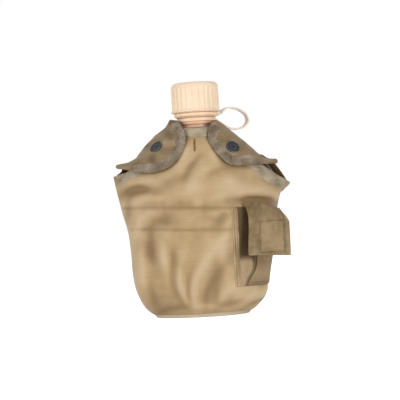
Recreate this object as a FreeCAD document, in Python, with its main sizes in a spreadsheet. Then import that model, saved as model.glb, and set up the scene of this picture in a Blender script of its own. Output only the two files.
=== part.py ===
import FreeCAD, Part
import math
import os
import Sketcher

# A one-quart field canteen in its sewn carrier: a kidney-section plastic bottle with a
# ribbed screw cap kept by a strap, in a lined cloth cover with two snapped shoulder
# flaps, a small flapped pocket and two steel belt keepers behind.
# Millimetres. +Z is up, -Y is the front, the origin is on the base under the neck.

doc = FreeCAD.newDocument("canteen")
sheet = doc.addObject("Spreadsheet::Sheet", "Sizes")

# Levels of the bottle's outside: height above the level below, half width, radius of the
# rounded ends. The foot stands on the lining.
LEVELS = [
    ("foot", 0.0, 41.0, 17.0),
    ("heel", 4.1, 47.0, 20.5),
    ("shin", 8.0, 52.5, 23.2),
    ("low", 14.0, 56.0, 24.5),
    ("middle", 32.0, 59.5, 25.6),
    ("chest", 36.0, 65.0, 26.6),
    ("shoulder", 22.0, 66.3, 26.0),
    ("slope", 14.0, 60.0, 24.2),
    ("crest", 16.0, 46.0, 21.0),
    ("throat", 10.0, 33.0, 18.5),
    ("root", 7.0, 20.0, 15.8),
]

SIZES = [
    ("front_crown", 0.33, "tangent of half the angle that the front arc spans each side"),
    ("back_hollow", 0.087, "the same for the hollow back"),
    ("wall", 1.6, "bottle wall"),
    ("neck_radius", 14.5, "outside of the neck under the thread"),
    ("neck_length", 44.5, "root to rim"),
    ("lower_bead_radius", 15.7, ""),
    ("lower_bead_rise", 7.8, "middle of the lower bead above the root"),
    ("upper_bead_radius", 16.9, ""),
    ("upper_bead_rise", 10.9, "middle of the upper bead, which carries the strap's ring"),
    ("bead_thickness", 2.6, ""),
    ("bead_edge", 0.4, "softened edges of the beads"),
    ("thread_radius", 16.4, "crest of the cap's thread"),
    ("thread_depth", 1.0, ""),
    ("thread_land", 9.0, "height of the threaded band"),
    ("thread_start", 3.0, "plain neck between the band and the rim"),
    ("running_gap", 0.2, "clearance of parts that turn or slide on each other"),
    ("strap_ring_wall", 3.1, "radial width of the ring on the neck"),
    ("strap_ring_height", 3.3, ""),
    ("strap_lug", 2.4, "how far a ring's lug stands out"),
    ("cap_ring_wall", 2.2, "radial width of the ring under the cap"),
    ("cap_ring_height", 3.0, ""),
    ("cap_radius", 22.0, "over the ribs"),
    ("cap_crown", 2.5, "thickness of the cap's top"),
    ("cap_corner", 4.6, "rounding of the cap's top edge"),
    ("flute_radius", 3.2, "cutter for the flutes between the ribs"),
    ("flute_depth", 0.6, ""),
    ("flute_count", 28, ""),
    ("flange_radius", 23.2, ""),
    ("flange_height", 2.6, ""),
    ("flange_bevel", 1.0, "bevel under the flange"),
    ("flange_edge", 0.6, ""),
    ("skirt_radius", 18.0, "the groove that the strap's upper ring turns on"),
    ("skirt_bead", 0.8, "how far the bead under the ring stands out"),
    ("skirt_bead_height", 1.0, ""),
    ("liner_thickness", 1.5, ""),
    ("liner_radius", 16.6, ""),
    ("strap_turn", 30.0, "degrees from +X towards the back to the strap's plane"),
    ("strap_width", 5.0, ""),
    ("strap_thickness", 1.5, ""),
    ("strap_gap", 0.3, "free space beside the turning cap ring"),
    ("strap_bend", 12.0, "bend radius of the loop"),
    ("fabric", 1.3, "cover cloth"),
    ("lining", 2.6, "pile lining"),
    ("bottle_ease", 0.9, "room between lining and bottle"),
    ("brow_rise", 11.0, "above the slope, where the cover's straight shoulder begins"),
    ("brow_half_width", 55.0, ""),
    ("brow_radius", 26.6, ""),
    ("collar_rise", 11.0, "above the bottle's root, where it ends round the neck"),
    ("collar_half_width", 18.9, ""),
    ("collar_radius", 18.3, ""),
    ("lining_drop", 10.0, "top of the linings below the collar"),
    ("lining_inset", 2.0, "front lining inside the front panel's edge"),
    ("lining_gap", 0.4, "between the two linings at the base"),
    ("back_drop", 4.0, "top of the back panel below the collar"),
    ("front_drop", 5.5, "top of the front panel below the collar, between the flaps"),
    ("front_neck_half", 14.0, "half width of that tab"),
    ("front_shoulder_out", 3.0, "a point on the front panel's sloping edge, past the brow"),
    ("front_shoulder_drop", 38.0, "how far below the collar it is"),
    ("front_edge_drop", 58.0, "where the sloping edge meets the side seam"),
    ("front_edge_run", 20.0, "how much further out that is"),
    ("collar_binding_height", 9.0, ""),
    ("binding", 0.8, "thickness of the edge tape"),
    ("left_ear_out", 14.7, "tip of the ear where the side seam ends, past the shoulder"),
    ("left_ear_drop", 14.0, "below the brow"),
    ("left_ear_root_drop", 57.0, "where the side seam starts to stand out, below the brow"),
    ("left_notch_drop", 8.0, "between the ear and the flap's tip, below the brow"),
    ("right_ear_out", 16.7, ""),
    ("right_ear_drop", 27.5, ""),
    ("right_ear_root_drop", 48.0, ""),
    ("right_notch_drop", 12.0, ""),
    ("notch_out", 6.0, "past the slope"),
    ("ear_bow", 1.2, "how far the ear's lower edge bows out"),
    ("ear_nose", 2.5, "blunt end of the ear"),
    ("hinge_gap", 3.4, "inner end of a flap's sewn line, out from the collar"),
    ("left_tip_out", 21.0, "outer end of the sewn line, past the brow"),
    ("left_tip_drop", 2.5, "below the brow"),
    ("right_tip_out", 17.5, ""),
    ("right_tip_drop", 4.5, ""),
    ("flap_lift", 2.4, "inside of the flaps over the inside of the cloth"),
    ("flap_thickness", 2.0, "cloth, lining and turned edge"),
    ("flap_inner_x", 10.5, "straight inner edge of a flap"),
    ("flap_corner_radius", 25.5, ""),
    ("flap_corner_drop", 16.0, "centre of the round corner below the collar"),
    ("flap_neck_x", 16.0, "inner edge of a flap at its top"),
    ("flap_neck_rise", 6.0, "where that edge starts to lean, above the corner's centre"),
    ("flap_tip_height", 3.0, "height of the flap's blunt tip"),
    ("flap_seam", 0.6, "slot along the hinge seam"),
    ("flap_binding_width", 8.0, ""),
    ("flap_binding", 0.7, "thickness of its edge tape"),
    ("snap_radius", 7.2, "button of a snap"),
    ("snap_dome", 1.2, "how far the button stands over the flap"),
    ("snap_sink", 0.7, "how far it is pressed into the cloth"),
    ("snap_gap", 0.25, "socket over the front panel"),
    ("socket_radius", 5.4, ""),
    ("socket_bore", 3.0, ""),
    ("stud_radius", 2.0, ""),
    ("stud_rise", 0.6, "over the front panel"),
    ("stud_flange", 4.8, ""),
    ("stud_plate", 0.5, "thickness of its flange, closed into the cloth"),
    ("stud_depth", 0.3, "cloth over the flange"),
    ("left_snap_x", -38.0, ""),
    ("left_snap_drop", 21.0, "below the collar"),
    ("right_snap_x", 31.5, ""),
    ("right_snap_drop", 25.2, ""),
    ("pocket_in", 8.0, "reference point of the pocket, in from the bottle's side"),
    ("pocket_back", 6.0, "and back from the front of its rounded end"),
    ("pocket_turn", 32.0, "degrees the pocket faces away from the front"),
    ("pocket_bottom", 27.0, ""),
    ("pocket_height", 61.0, ""),
    ("pocket_waist", 0.45, "share of that height where the front starts to lean in"),
    ("pocket_root", 20.0, "run of the side walls towards the cover"),
    ("pocket_flare", 6.0, "how far the right wall slants out over that run"),
    ("pocket_half", 21.0, "half width where it is sewn down"),
    ("pocket_wall", 1.4, ""),
    ("pocket_front_top", 15.2, "how far the pocket's mouth stands out"),
    ("pocket_lean", 2.0, "how much less it stands out halfway down"),
    ("pocket_front_bottom", 3.4, ""),
    ("gusset_share", 0.25, "how far the side seam stands out, as a share of the front"),
    ("pocket_bottom_skew", 1.5, "how much less the bottom's right corner stands out"),
    ("gusset_bottom", 2.0, "left corner of the front in from the sewn side"),
    ("gusset_middle", 7.5, ""),
    ("gusset_top", 8.5, ""),
    ("pocket_right_bottom", 5.0, "right corner of the front from the middle"),
    ("pocket_right_middle", 9.0, ""),
    ("pocket_right_top", 13.0, ""),
    ("pocket_flap_half", 23.0, ""),
    ("pocket_flap_rise", 13.0, "sewn line of the flap above the pocket's mouth"),
    ("pocket_flap_seam_out", 11.4, ""),
    ("pocket_flap_seam_height", 4.0, "the sewn strip above that line"),
    ("pocket_flap_seam_gap", 0.3, ""),
    ("pocket_flap_slope", 10.0, "height of the flap's sloping top"),
    ("pocket_flap_length", 37.0, "height of its hanging front"),
    ("pocket_flap_out", 16.8, "inside of the flap at that turn"),
    ("pocket_flap_flare", 0.4, "how much further out its hem hangs"),
    ("pocket_flap_thickness", 2.0, ""),
    ("tape_half", 12.5, ""),
    ("tape_height", 27.0, ""),
    ("tape_thickness", 0.7, "each of the hook and loop tapes"),
    ("tape_margin", 2.5, "tapes above the flap's hem, and below the pocket's mouth"),
    ("tape_edge", 0.6, "loop tape in from the pocket's corner"),
    ("web_low", 101.0, "back webbing"),
    ("web_height", 26.0, ""),
    ("web_half", 50.0, ""),
    ("web_thickness", 1.6, ""),
    ("web_gap", 0.1, "inside face of the webbing behind the cover"),
    ("web_pad_half", 7.0, "half width of the middle sewn pad"),
    ("web_pad_gap", 1.0, "between a keeper and the pads beside it"),
    ("keeper_x", 19.0, "middle of a belt keeper"),
    ("keeper_width", 20.0, ""),
    ("keeper_thickness", 1.0, ""),
    ("keeper_top", 146.0, ""),
    ("keeper_bottom", 77.0, ""),
    ("keeper_bend", 2.4, ""),
    ("keeper_play", 0.2, "back leg to the webbing"),
    ("belt_space", 6.4, "room for the belt between webbing and front leg"),
    ("hook_height", 7.0, "upturned end of a keeper"),
    ("hook_gap", 0.8, ""),
    ("leg_gap", 2.2, "end of the front leg above the keeper's bottom"),
    ("slider_height", 15.0, ""),
    ("slider_thickness", 0.9, ""),
    ("slider_gap", 0.3, ""),
    ("slider_lip", 4.5, "turned-in edges of a slider"),
    ("slider_bend", 0.8, ""),
    ("slider_rest", 3.0, "slider above the hook when the keeper is unlocked"),
    ("slider_thumb", 2.6, "thumb tab standing off the slider"),
    ("thumb_share", 0.6, "its width as a share of the keeper's"),
]


class Size:
    """A length that knows its number and its formula in the spreadsheet."""

    def __init__(self, value, text):
        self.value = float(value)
        self.text = text

    def __float__(self):
        return self.value

    def __add__(self, other):
        return Size(self.value + float(other), f"({self.text} + {text_of(other)})")

    def __radd__(self, other):
        return Size(self.value + float(other), f"({text_of(other)} + {self.text})")

    def __sub__(self, other):
        return Size(self.value - float(other), f"({self.text} - {text_of(other)})")

    def __rsub__(self, other):
        return Size(float(other) - self.value, f"({text_of(other)} - {self.text})")

    def __mul__(self, other):
        return Size(self.value * float(other), f"({self.text} * {text_of(other)})")

    def __truediv__(self, other):
        return Size(self.value / float(other), f"({self.text} / {text_of(other)})")

    def __neg__(self):
        return Size(-self.value, f"(0 - {self.text})")


def text_of(value):
    return value.text if isinstance(value, Size) else repr(float(value))


class Sizes:
    """The spreadsheet's cells by name."""


size = Sizes()


def fill_sheet():
    rows = []
    for name, rise, half_width, end_radius in LEVELS:
        rows.append((name + "_rise", rise, "of this level above the one below"))
        rows.append((name + "_half_width", half_width, ""))
        rows.append((name + "_end_radius", end_radius, ""))
    rows += SIZES
    for number, (alias, value, note) in enumerate(rows, start=1):
        sheet.set(f"A{number}", alias)
        sheet.set(f"B{number}", str(value))
        sheet.setAlias(f"B{number}", alias)
        sheet.set(f"C{number}", note)
    doc.recompute()
    for alias, value, note in rows:
        setattr(size, alias, Size(sheet.get(alias), "Sizes." + alias))


fill_sheet()

level_height = {}
height_so_far = size.fabric + size.lining
for level_name, *_ in LEVELS:
    height_so_far = height_so_far + getattr(size, level_name + "_rise")
    level_height[level_name] = height_so_far

root_height = level_height["root"]
rim_height = root_height + size.neck_length
upper_bead_height = root_height + size.upper_bead_rise
lower_bead_height = root_height + size.lower_bead_rise
brow_height = level_height["slope"] + size.brow_rise
collar_height = root_height + size.collar_rise
hinge_x = size.collar_half_width + size.hinge_gap
front_top = collar_height - size.front_drop
pocket_top = size.pocket_bottom + size.pocket_height
pocket_flap_seam = pocket_top + size.pocket_flap_rise
pocket_flap_shoulder = pocket_flap_seam - size.pocket_flap_slope
pocket_flap_hem = pocket_flap_shoulder - size.pocket_flap_length
far = float(size.shoulder_half_width) * 3  # beyond the whole canteen, for cutting


def vec(x, y, z):
    return FreeCAD.Vector(float(x), float(y), float(z))


# ---- the kidney section and the skins made from it ----

FRONT_ANGLE = 2 * math.atan(float(size.front_crown))
BACK_ANGLE = 2 * math.atan(float(size.back_hollow))


def kidney(height, half_width, end_radius):
    """Closed wire of four tangent arcs: bowed front, two round ends, hollow back."""
    centre = half_width - end_radius
    front = end_radius + centre * float(size.front_crown)
    back = end_radius - centre * float(size.back_hollow)
    front_x = centre + end_radius * math.sin(FRONT_ANGLE)
    front_y = -end_radius * math.cos(FRONT_ANGLE)
    back_x = centre - end_radius * math.sin(BACK_ANGLE)
    back_y = end_radius * math.cos(BACK_ANGLE)
    corners = [
        (-front_x, front_y), (0, -front), (front_x, front_y), (half_width, 0),
        (back_x, back_y), (0, back), (-back_x, back_y), (-half_width, 0),
    ]
    points = [vec(x, y, height) for x, y in corners]
    points.append(points[0])
    arcs = [Part.Arc(*points[i:i + 3]).toShape() for i in (0, 2, 4, 6)]
    return Part.Wire(arcs)


def bottle_levels():
    return [
        (
            float(height), float(getattr(size, name + "_half_width")),
            float(getattr(size, name + "_end_radius")),
        )
        for name, height in level_height.items()
    ]


def cover_levels():
    """The inside of the cloth: the bottle with its lining up to the slope, then the
    straight shoulders of the cover."""
    ease = float(size.lining + size.bottle_ease)
    slope = list(level_height).index("slope")
    levels = [(z, w + ease, r + ease) for z, w, r in bottle_levels()[:slope + 1]]
    levels[0] = (float(size.fabric),) + levels[0][1:]
    for height, half_width, radius in (
        (brow_height, size.brow_half_width, size.brow_radius),
        (collar_height, size.collar_half_width, size.collar_radius),
    ):
        levels.append((float(height), float(half_width), float(radius)))
    return levels


def skin(levels, offset):
    """Solid inside a skin that lies offset outside the levels all round and below."""
    wires = []
    for number, (z, w, r) in enumerate(levels):
        base = offset if number == 0 else 0.0
        wires.append(kidney(z - base, w + offset, r + offset))
    return Part.makeLoft(wires, True, True)


def cover_layer(inner, outer):
    levels = cover_levels()
    return skin(levels, float(outer)).cut(skin(levels, float(inner)))


def cover_at(height, offset):
    """Half width and end radius of the cover at a height."""
    levels = cover_levels()
    for (z0, w0, r0), (z1, w1, r1) in zip(levels, levels[1:]):
        if z0 <= height <= z1:
            part = (height - z0) / (z1 - z0)
            return w0 + (w1 - w0) * part + offset, r0 + (r1 - r0) * part + offset
    raise ValueError(f"no cover at height {height}")


def front_of_cover(x, z, offset):
    """Point on the cover's front at x and z, and the normal there."""
    def depth(x_at, z_at):
        half_width, end_radius = cover_at(z_at, offset)
        centre = half_width - end_radius
        if abs(x_at) > centre + end_radius * math.sin(FRONT_ANGLE):
            return -math.sqrt(end_radius ** 2 - (abs(x_at) - centre) ** 2)
        bow_radius = end_radius + centre / math.sin(FRONT_ANGLE)
        bow_centre = centre / math.tan(FRONT_ANGLE)
        return bow_centre - math.sqrt(bow_radius ** 2 - x_at ** 2)
    step = 0.5
    across = (depth(x + step, z) - depth(x - step, z)) / (2 * step)
    up = (depth(x, z + step) - depth(x, z - step)) / (2 * step)
    normal = vec(across, -1, up)
    normal.normalize()
    return vec(x, depth(x, z), z), normal


# ---- general helpers ----

subparts = []


def feature(label, shape):
    """A sub-part whose shape the lofts and cuts below make."""
    part = doc.addObject("Part::Feature", label)
    part.Label = label
    part.Shape = shape
    part.Placement = shape.Placement
    subparts.append(part)
    return part


def body_named(label):
    body = doc.addObject("PartDesign::Body", label)
    body.Label = label
    subparts.append(body)
    return body


def polygon_sketch(body, role, corners, height=None):
    """Closed outline of straight lines with every corner bound to its formula."""
    sketch = body.newObject("Sketcher::SketchObject", body.Label + "_outline")
    plane = [f for f in body.Origin.OriginFeatures if f.Role == role][0]
    sketch.AttachmentSupport = (plane, [""])
    sketch.MapMode = "FlatFace"
    if height is not None:
        sketch.AttachmentOffset = FreeCAD.Placement(vec(0, 0, height), FreeCAD.Rotation())
        sketch.setExpression("AttachmentOffset.Base.z", text_of(height))
    count = len(corners)
    points = [vec(x, y, 0) for x, y in corners]
    for number in range(count):
        sketch.addGeometry(Part.LineSegment(points[number], points[(number + 1) % count]))
    for number in range(count):
        sketch.addConstraint(
            Sketcher.Constraint("Coincident", number, 2, (number + 1) % count, 1)
        )
    for number, corner in enumerate(corners):
        for kind, axis, value in (("DistanceX", -2, corner[0]), ("DistanceY", -1, corner[1])):
            if float(value) == 0:
                sketch.addConstraint(Sketcher.Constraint("PointOnObject", number, 1, axis))
                continue
            index = sketch.addConstraint(
                Sketcher.Constraint(kind, -1, 1, number, 1, float(value))
            )
            name = f"{kind[-1].lower()}_of_corner_{number}"
            sketch.renameConstraint(index, name)
            sketch.setExpression("Constraints." + name, text_of(value))
    return sketch


def revolve(body, corners, kind="Revolution"):
    """Turn an outline of (radius, height) corners about the vertical axis."""
    sketch = polygon_sketch(body, "XZ_Plane", corners)
    turned = body.newObject("PartDesign::" + kind, body.Label + "_" + kind.lower())
    turned.Profile = sketch
    turned.ReferenceAxis = (sketch, ["V_Axis"])
    turned.Angle = 360
    doc.recompute()
    return turned


def pad(body, corners, base, thickness, kind="Pad"):
    """A flat outline in plan, raised from the height base by a thickness."""
    sketch = polygon_sketch(body, "XY_Plane", corners, base)
    raised = body.newObject("PartDesign::" + kind, body.Label + "_" + kind.lower())
    raised.Profile = sketch
    raised.setExpression("Length", text_of(thickness))
    doc.recompute()
    return raised


def round_edges(body, feature_to_round, radius, wanted):
    """Fillet the edges of a feature that the test wanted accepts."""
    names = [
        f"Edge{number}" for number, edge in enumerate(feature_to_round.Shape.Edges, start=1)
        if wanted(edge)
    ]
    fillet = body.newObject("PartDesign::Fillet", body.Label + "_fillet")
    fillet.Base = (feature_to_round, names)
    fillet.setExpression("Radius", text_of(radius))
    doc.recompute()
    return fillet


SAME = 0.01  # two heights or radii that differ by less are the same


def ring_edge(radius, height):
    """Test for a circular edge of this radius at this height about the axis."""
    def wanted(edge):
        curve = edge.Curve
        if not isinstance(curve, Part.Circle):
            return False
        same_radius = abs(curve.Radius - float(radius)) < SAME
        return same_radius and abs(curve.Center.z - float(height)) < SAME
    return wanted


def rectangle(x_low, x_high, y_low, y_high):
    return [(x_low, y_low), (x_high, y_low), (x_high, y_high), (x_low, y_high)]


def front_prism(corners, y_low=-far, y_high=0.0):
    """Solid behind an outline drawn in x and z on the front view."""
    points = [vec(x, y_low, z) for x, z in corners]
    face = Part.Face(Part.makePolygon(points + [points[0]]))
    return face.extrude(vec(0, y_high - y_low, 0))


def box(x_low, x_high, y_low, y_high, z_low, z_high):
    corner = vec(x_low, y_low, z_low)
    return Part.makeBox(
        float(x_high) - float(x_low), float(y_high) - float(y_low),
        float(z_high) - float(z_low), corner
    )


def bent_strip(route, bend, thickness, width):
    """Flat strip that follows a route in the X-Z plane with rounded bends, its width
    along Y."""
    points = [vec(x, 0, z) for x, z in route]
    edges = []
    start = points[0]
    for before, corner, after in zip(points, points[1:], points[2:]):
        back = (before - corner).normalize()
        ahead = (after - corner).normalize()
        half_angle = back.getAngle(ahead) / 2
        reach = float(bend) / math.tan(half_angle)
        reach = min(reach, 0.48 * (before - corner).Length, 0.48 * (after - corner).Length)
        radius = reach * math.tan(half_angle)
        first = corner + back * reach
        last = corner + ahead * reach
        inward = (back + ahead).normalize()
        middle = corner + inward * (radius / math.sin(half_angle) - radius)
        edges.append(Part.LineSegment(start, first).toShape())
        edges.append(Part.Arc(first, middle, last).toShape())
        start = last
    edges.append(Part.LineSegment(start, points[-1]).toShape())
    route_wire = Part.Wire(edges)
    outline = route_wire.makeOffset2D(float(thickness) / 2, fill=True)
    strip = outline.extrude(vec(0, float(width), 0))
    strip.translate(vec(0, -float(width) / 2, 0))
    return strip


def largest_solid(shape):
    return max(shape.Solids, key=lambda solid: solid.Volume)


# ---- bottle ----

def make_bottle():
    levels = bottle_levels()
    wall = float(size.wall)
    outside = skin(levels, 0.0)
    inside = skin(levels, -wall)
    neck_foot = levels[-2][0]
    rim = float(rim_height)
    radius = float(size.neck_radius)
    neck = Part.makeCylinder(radius, rim - neck_foot, vec(0, 0, neck_foot))
    land = float(size.thread_land)
    thread_band = Part.makeCylinder(
        float(size.thread_radius - size.thread_depth), land,
        vec(0, 0, rim - land - float(size.thread_start))
    )
    root = radius - wall / 2
    half = float(size.bead_thickness) / 2
    edge = float(size.bead_edge)
    beads = []
    for bead_radius, middle in (
        (float(size.lower_bead_radius), float(lower_bead_height)),
        (float(size.upper_bead_radius), float(upper_bead_height)),
    ):
        profile = [
            (root, middle - half), (bead_radius - edge, middle - half),
            (bead_radius, middle - half + edge), (bead_radius, middle + half - edge),
            (bead_radius - edge, middle + half), (root, middle + half), (root, middle - half),
        ]
        face = Part.Face(Part.makePolygon([vec(x, 0, z) for x, z in profile]))
        beads.append(face.revolve(vec(0, 0, 0), vec(0, 0, 1), 360))
    outer = outside.fuse([neck, thread_band] + beads)
    bore = Part.makeCylinder(radius - wall, 2 * (rim - neck_foot), vec(0, 0, neck_foot))
    return feature("canteen_bottle", outer.cut(inside.fuse(bore)).removeSplitter())


# ---- cap, liner and the rings of the retaining strap ----

upper_bead_top = upper_bead_height + size.bead_thickness / 2
skirt_base = upper_bead_top + size.strap_ring_height + size.running_gap * 2
flange_base = skirt_base + size.skirt_bead_height + size.cap_ring_height + size.running_gap * 2
cap_top = rim_height + size.liner_thickness + size.cap_crown


def make_cap():
    body = body_named("screw_cap")
    bore = size.thread_radius + size.running_gap * 2
    ceiling = rim_height + size.liner_thickness
    groove = skirt_base + size.skirt_bead_height
    turned = revolve(body, [
        (0, ceiling), (bore, ceiling), (bore, skirt_base),
        (size.skirt_radius + size.skirt_bead / 2, skirt_base),
        (size.skirt_radius + size.skirt_bead, groove - size.skirt_bead_height / 2),
        (size.skirt_radius, groove), (size.skirt_radius, flange_base),
        (size.flange_radius - size.flange_bevel * 2, flange_base),
        (size.flange_radius, flange_base + size.flange_bevel),
        (size.flange_radius, flange_base + size.flange_height - size.flange_edge),
        (size.cap_radius, flange_base + size.flange_height),
        (size.cap_radius, cap_top), (0, cap_top),
    ])
    rounded = round_edges(body, turned, size.cap_corner, ring_edge(size.cap_radius, cap_top))
    cutter = body.newObject("Sketcher::SketchObject", "flute_outline")
    plane = [f for f in body.Origin.OriginFeatures if f.Role == "XY_Plane"][0]
    cutter.AttachmentSupport = (plane, [""])
    cutter.MapMode = "FlatFace"
    flute_base = flange_base + size.flange_height
    cutter.setExpression("AttachmentOffset.Base.z", text_of(flute_base))
    distance = size.cap_radius + size.flute_radius - size.flute_depth
    cutter.addGeometry(Part.Circle(vec(distance, 0, 0), vec(0, 0, 1), float(size.flute_radius)))
    cutter.addConstraint(Sketcher.Constraint("PointOnObject", 0, 3, -1))
    across = cutter.addConstraint(
        Sketcher.Constraint("DistanceX", -1, 1, 0, 3, float(distance))
    )
    cutter.renameConstraint(across, "distance")
    cutter.setExpression("Constraints.distance", distance.text)
    radius = cutter.addConstraint(Sketcher.Constraint("Radius", 0, float(size.flute_radius)))
    cutter.renameConstraint(radius, "radius")
    cutter.setExpression("Constraints.radius", size.flute_radius.text)
    flute = body.newObject("PartDesign::Pocket", "flute")
    flute.Profile = cutter
    flute.Reversed = True
    flute.setExpression("Length", text_of(cap_top - flute_base - size.cap_corner))
    doc.recompute()
    ring = body.newObject("PartDesign::PolarPattern", "flutes")
    ring.Originals = [flute]
    ring.Axis = (cutter, ["N_Axis"])
    ring.Angle = 360
    ring.Occurrences = int(float(size.flute_count))
    body.Tip = ring
    doc.recompute()
    if ring.Shape.Volume >= rounded.Shape.Volume - 1:
        raise RuntimeError("the flutes cut nothing")
    return body


def make_liner():
    body = body_named("cap_liner")
    top = rim_height + size.liner_thickness
    revolve(body, [
        (0, rim_height), (size.liner_radius, rim_height),
        (size.liner_radius, top), (0, top),
    ])
    return body


def make_strap_ring(label, inner, wall, base, height):
    """A moulded ring with a short lug where the strap joins it."""
    body = body_named(label)
    outer = inner + wall
    edge = size.bead_edge
    revolve(body, [
        (inner, base), (outer - edge, base), (outer, base + edge),
        (outer, base + height - edge), (outer - edge, base + height), (inner, base + height),
    ])
    half = size.strap_width / 2
    pad(body, rectangle(inner + wall / 2, outer + size.strap_lug, -half, half), base, height)
    body.Placement = FreeCAD.Placement(
        vec(0, 0, 0), FreeCAD.Rotation(vec(0, 0, 1), float(size.strap_turn))
    )
    doc.recompute()
    return body


# The strap's loop, from the cap ring round to the neck ring: how far each bend is outside
# the upper lug, and how high above the lower one.
LOOP = [
    (3.7, 5.2), (6.7, 9.2), (13.2, 11.6), (23.2, 9.8), (31.2, 5.0), (33.8, -1.2),
    (29.8, -7.2), (21.2, -9.5), (11.8, -8.4), (4.2, -4.2),
]


def make_strap(neck_ring):
    """The strap's free loop, in a vertical plane through the neck."""
    cap_lug = float(size.skirt_radius + size.running_gap + size.cap_ring_wall + size.strap_lug)
    cap_lug_z = float(flange_base - size.running_gap - size.cap_ring_height / 2)
    neck_lug = float(size.neck_radius + size.running_gap + size.strap_ring_wall + size.strap_lug)
    neck_lug_z = float(upper_bead_top + size.strap_ring_height / 2)
    route = [(cap_lug, cap_lug_z)]
    route += [(cap_lug + out, neck_lug_z + rise) for out, rise in LOOP]
    route.append((neck_lug, neck_lug_z))
    strip = bent_strip(route, size.strap_bend, size.strap_thickness, size.strap_width)
    strip.rotate(vec(0, 0, 0), vec(0, 0, 1), float(size.strap_turn))
    gap = float(size.strap_gap)
    half = float(size.cap_ring_height) / 2 + 2 * gap
    keep_out = Part.makeCylinder(cap_lug + gap, 2 * half, vec(0, 0, cap_lug_z - half))
    return feature("retaining_strap", largest_solid(strip.cut(keep_out).cut(neck_ring.Shape)))


# ---- cover ----

def mirrored(shape):
    return shape.mirror(vec(0, 0, 0), vec(1, 0, 0))


def hinge_end(name):
    """Outer end of a flap's sewn line, in x and z on the right."""
    out = size.brow_half_width + getattr(size, name + "_tip_out")
    height = brow_height - getattr(size, name + "_tip_drop")
    return float(out), float(height)


def ear_fins(name):
    """The cloth edges of a side seam, which stand out as an ear. The back one goes on up
    to the line that the flap is sewn to."""
    inside = skin(cover_levels(), float(size.fabric) / 2)
    ear_x = float(size.shoulder_half_width + getattr(size, name + "_ear_out"))
    ear_z = float(brow_height - getattr(size, name + "_ear_drop"))
    low = float(brow_height - getattr(size, name + "_ear_root_drop"))
    notch = (
        float(size.slope_half_width + size.notch_out),
        float(brow_height - getattr(size, name + "_notch_drop")),
    )
    nose = float(size.ear_nose)
    root = cover_at(low, 0.0)[0]
    start = vec(root, 0, low)
    tip = vec(ear_x, 0, ear_z)
    middle = (start + tip) / 2 + vec(float(size.ear_bow), 0, 0)
    lower_edge = Part.Arc(start, middle, tip).toShape()
    collar = float(collar_height)
    hinge = (float(hinge_x), collar)
    outlines = {
        "front": [(ear_x - nose, ear_z + nose), notch, (0, notch[1]), (0, low)],
        "back": [
            (ear_x - nose, ear_z + nose), notch, hinge_end(name), hinge,
            (hinge[0], collar - float(size.back_drop)), (0, notch[1]), (0, low),
        ],
    }
    fins = {}
    for panel, y_low in (("front", -float(size.fabric)), ("back", 0.0)):
        corners = [tip] + [vec(x, 0, z) for x, z in outlines[panel]] + [start]
        edges = [Part.LineSegment(a, b).toShape() for a, b in zip(corners, corners[1:])]
        face = Part.Face(Part.Wire(Part.__sortEdges__([lower_edge] + edges)))
        face.translate(vec(0, y_low, 0))
        fin = face.extrude(vec(0, size.fabric, 0)).cut(inside)
        fins[panel] = mirrored(fin) if name == "left" else fin
    return fins


def both_sides(half_outline):
    """An outline that is the same on both sides, from its half with x above 0."""
    return half_outline + [(-x, z) for x, z in reversed(half_outline)]


def make_panels(studs):
    shell = cover_layer(0.0, size.fabric)
    left, right = ear_fins("left"), ear_fins("right")
    collar = float(collar_height)
    shoulder_x = float(size.brow_half_width + size.front_shoulder_out)
    edge_z = collar - float(size.front_edge_drop)
    seam = float(size.fabric) * 2
    front_outline = both_sides([
        (far, seam), (far, edge_z), (shoulder_x + float(size.front_edge_run), edge_z),
        (shoulder_x, collar - float(size.front_shoulder_drop)),
        (float(size.front_neck_half), float(front_top)),
    ])
    front = shell.common(front_prism(front_outline))
    front = largest_solid(front.fuse([left["front"], right["front"]]))
    for stud in studs:
        front = front.cut(stud.Shape)
    back = shell.common(box(-far, far, 0, far, 0, collar - float(size.back_drop)))
    base = shell.common(box(-far, far, -far, 0, -far, seam))
    back = largest_solid(back.fuse([base, left["back"], right["back"]]))
    return feature("cover_front", front), feature("cover_back", back)


def make_linings():
    layer = cover_layer(-size.lining, 0.0)
    collar = float(collar_height)
    top = collar - float(size.lining_drop)
    inset = float(size.lining_inset)
    gap = float(size.lining_gap)
    seam = float(size.fabric + size.lining)
    shoulder_x = float(size.brow_half_width + size.front_shoulder_out) - inset
    edge_z = collar - float(size.front_edge_drop) - inset
    outline = both_sides([
        (far, seam + gap), (far, edge_z), (shoulder_x + float(size.front_edge_run), edge_z),
        (shoulder_x, collar - float(size.front_shoulder_drop) - 2 * inset),
        (float(size.front_neck_half) - inset, top),
    ])
    front = largest_solid(layer.common(front_prism(outline)))
    back = layer.common(box(-far, far, 0, far, 0, top))
    base = layer.common(box(-far, far, -far, 0, 0, seam))
    back = largest_solid(back.fuse(base))
    return feature("front_lining", front), feature("back_lining", back)


def make_collar_binding():
    layer = cover_layer(size.fabric, size.fabric + size.binding)
    half = size.front_neck_half
    strip = front_prism(
        rectangle(-half, half, front_top - size.collar_binding_height, front_top)
    )
    return feature("collar_binding", largest_solid(layer.common(strip)))


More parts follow.
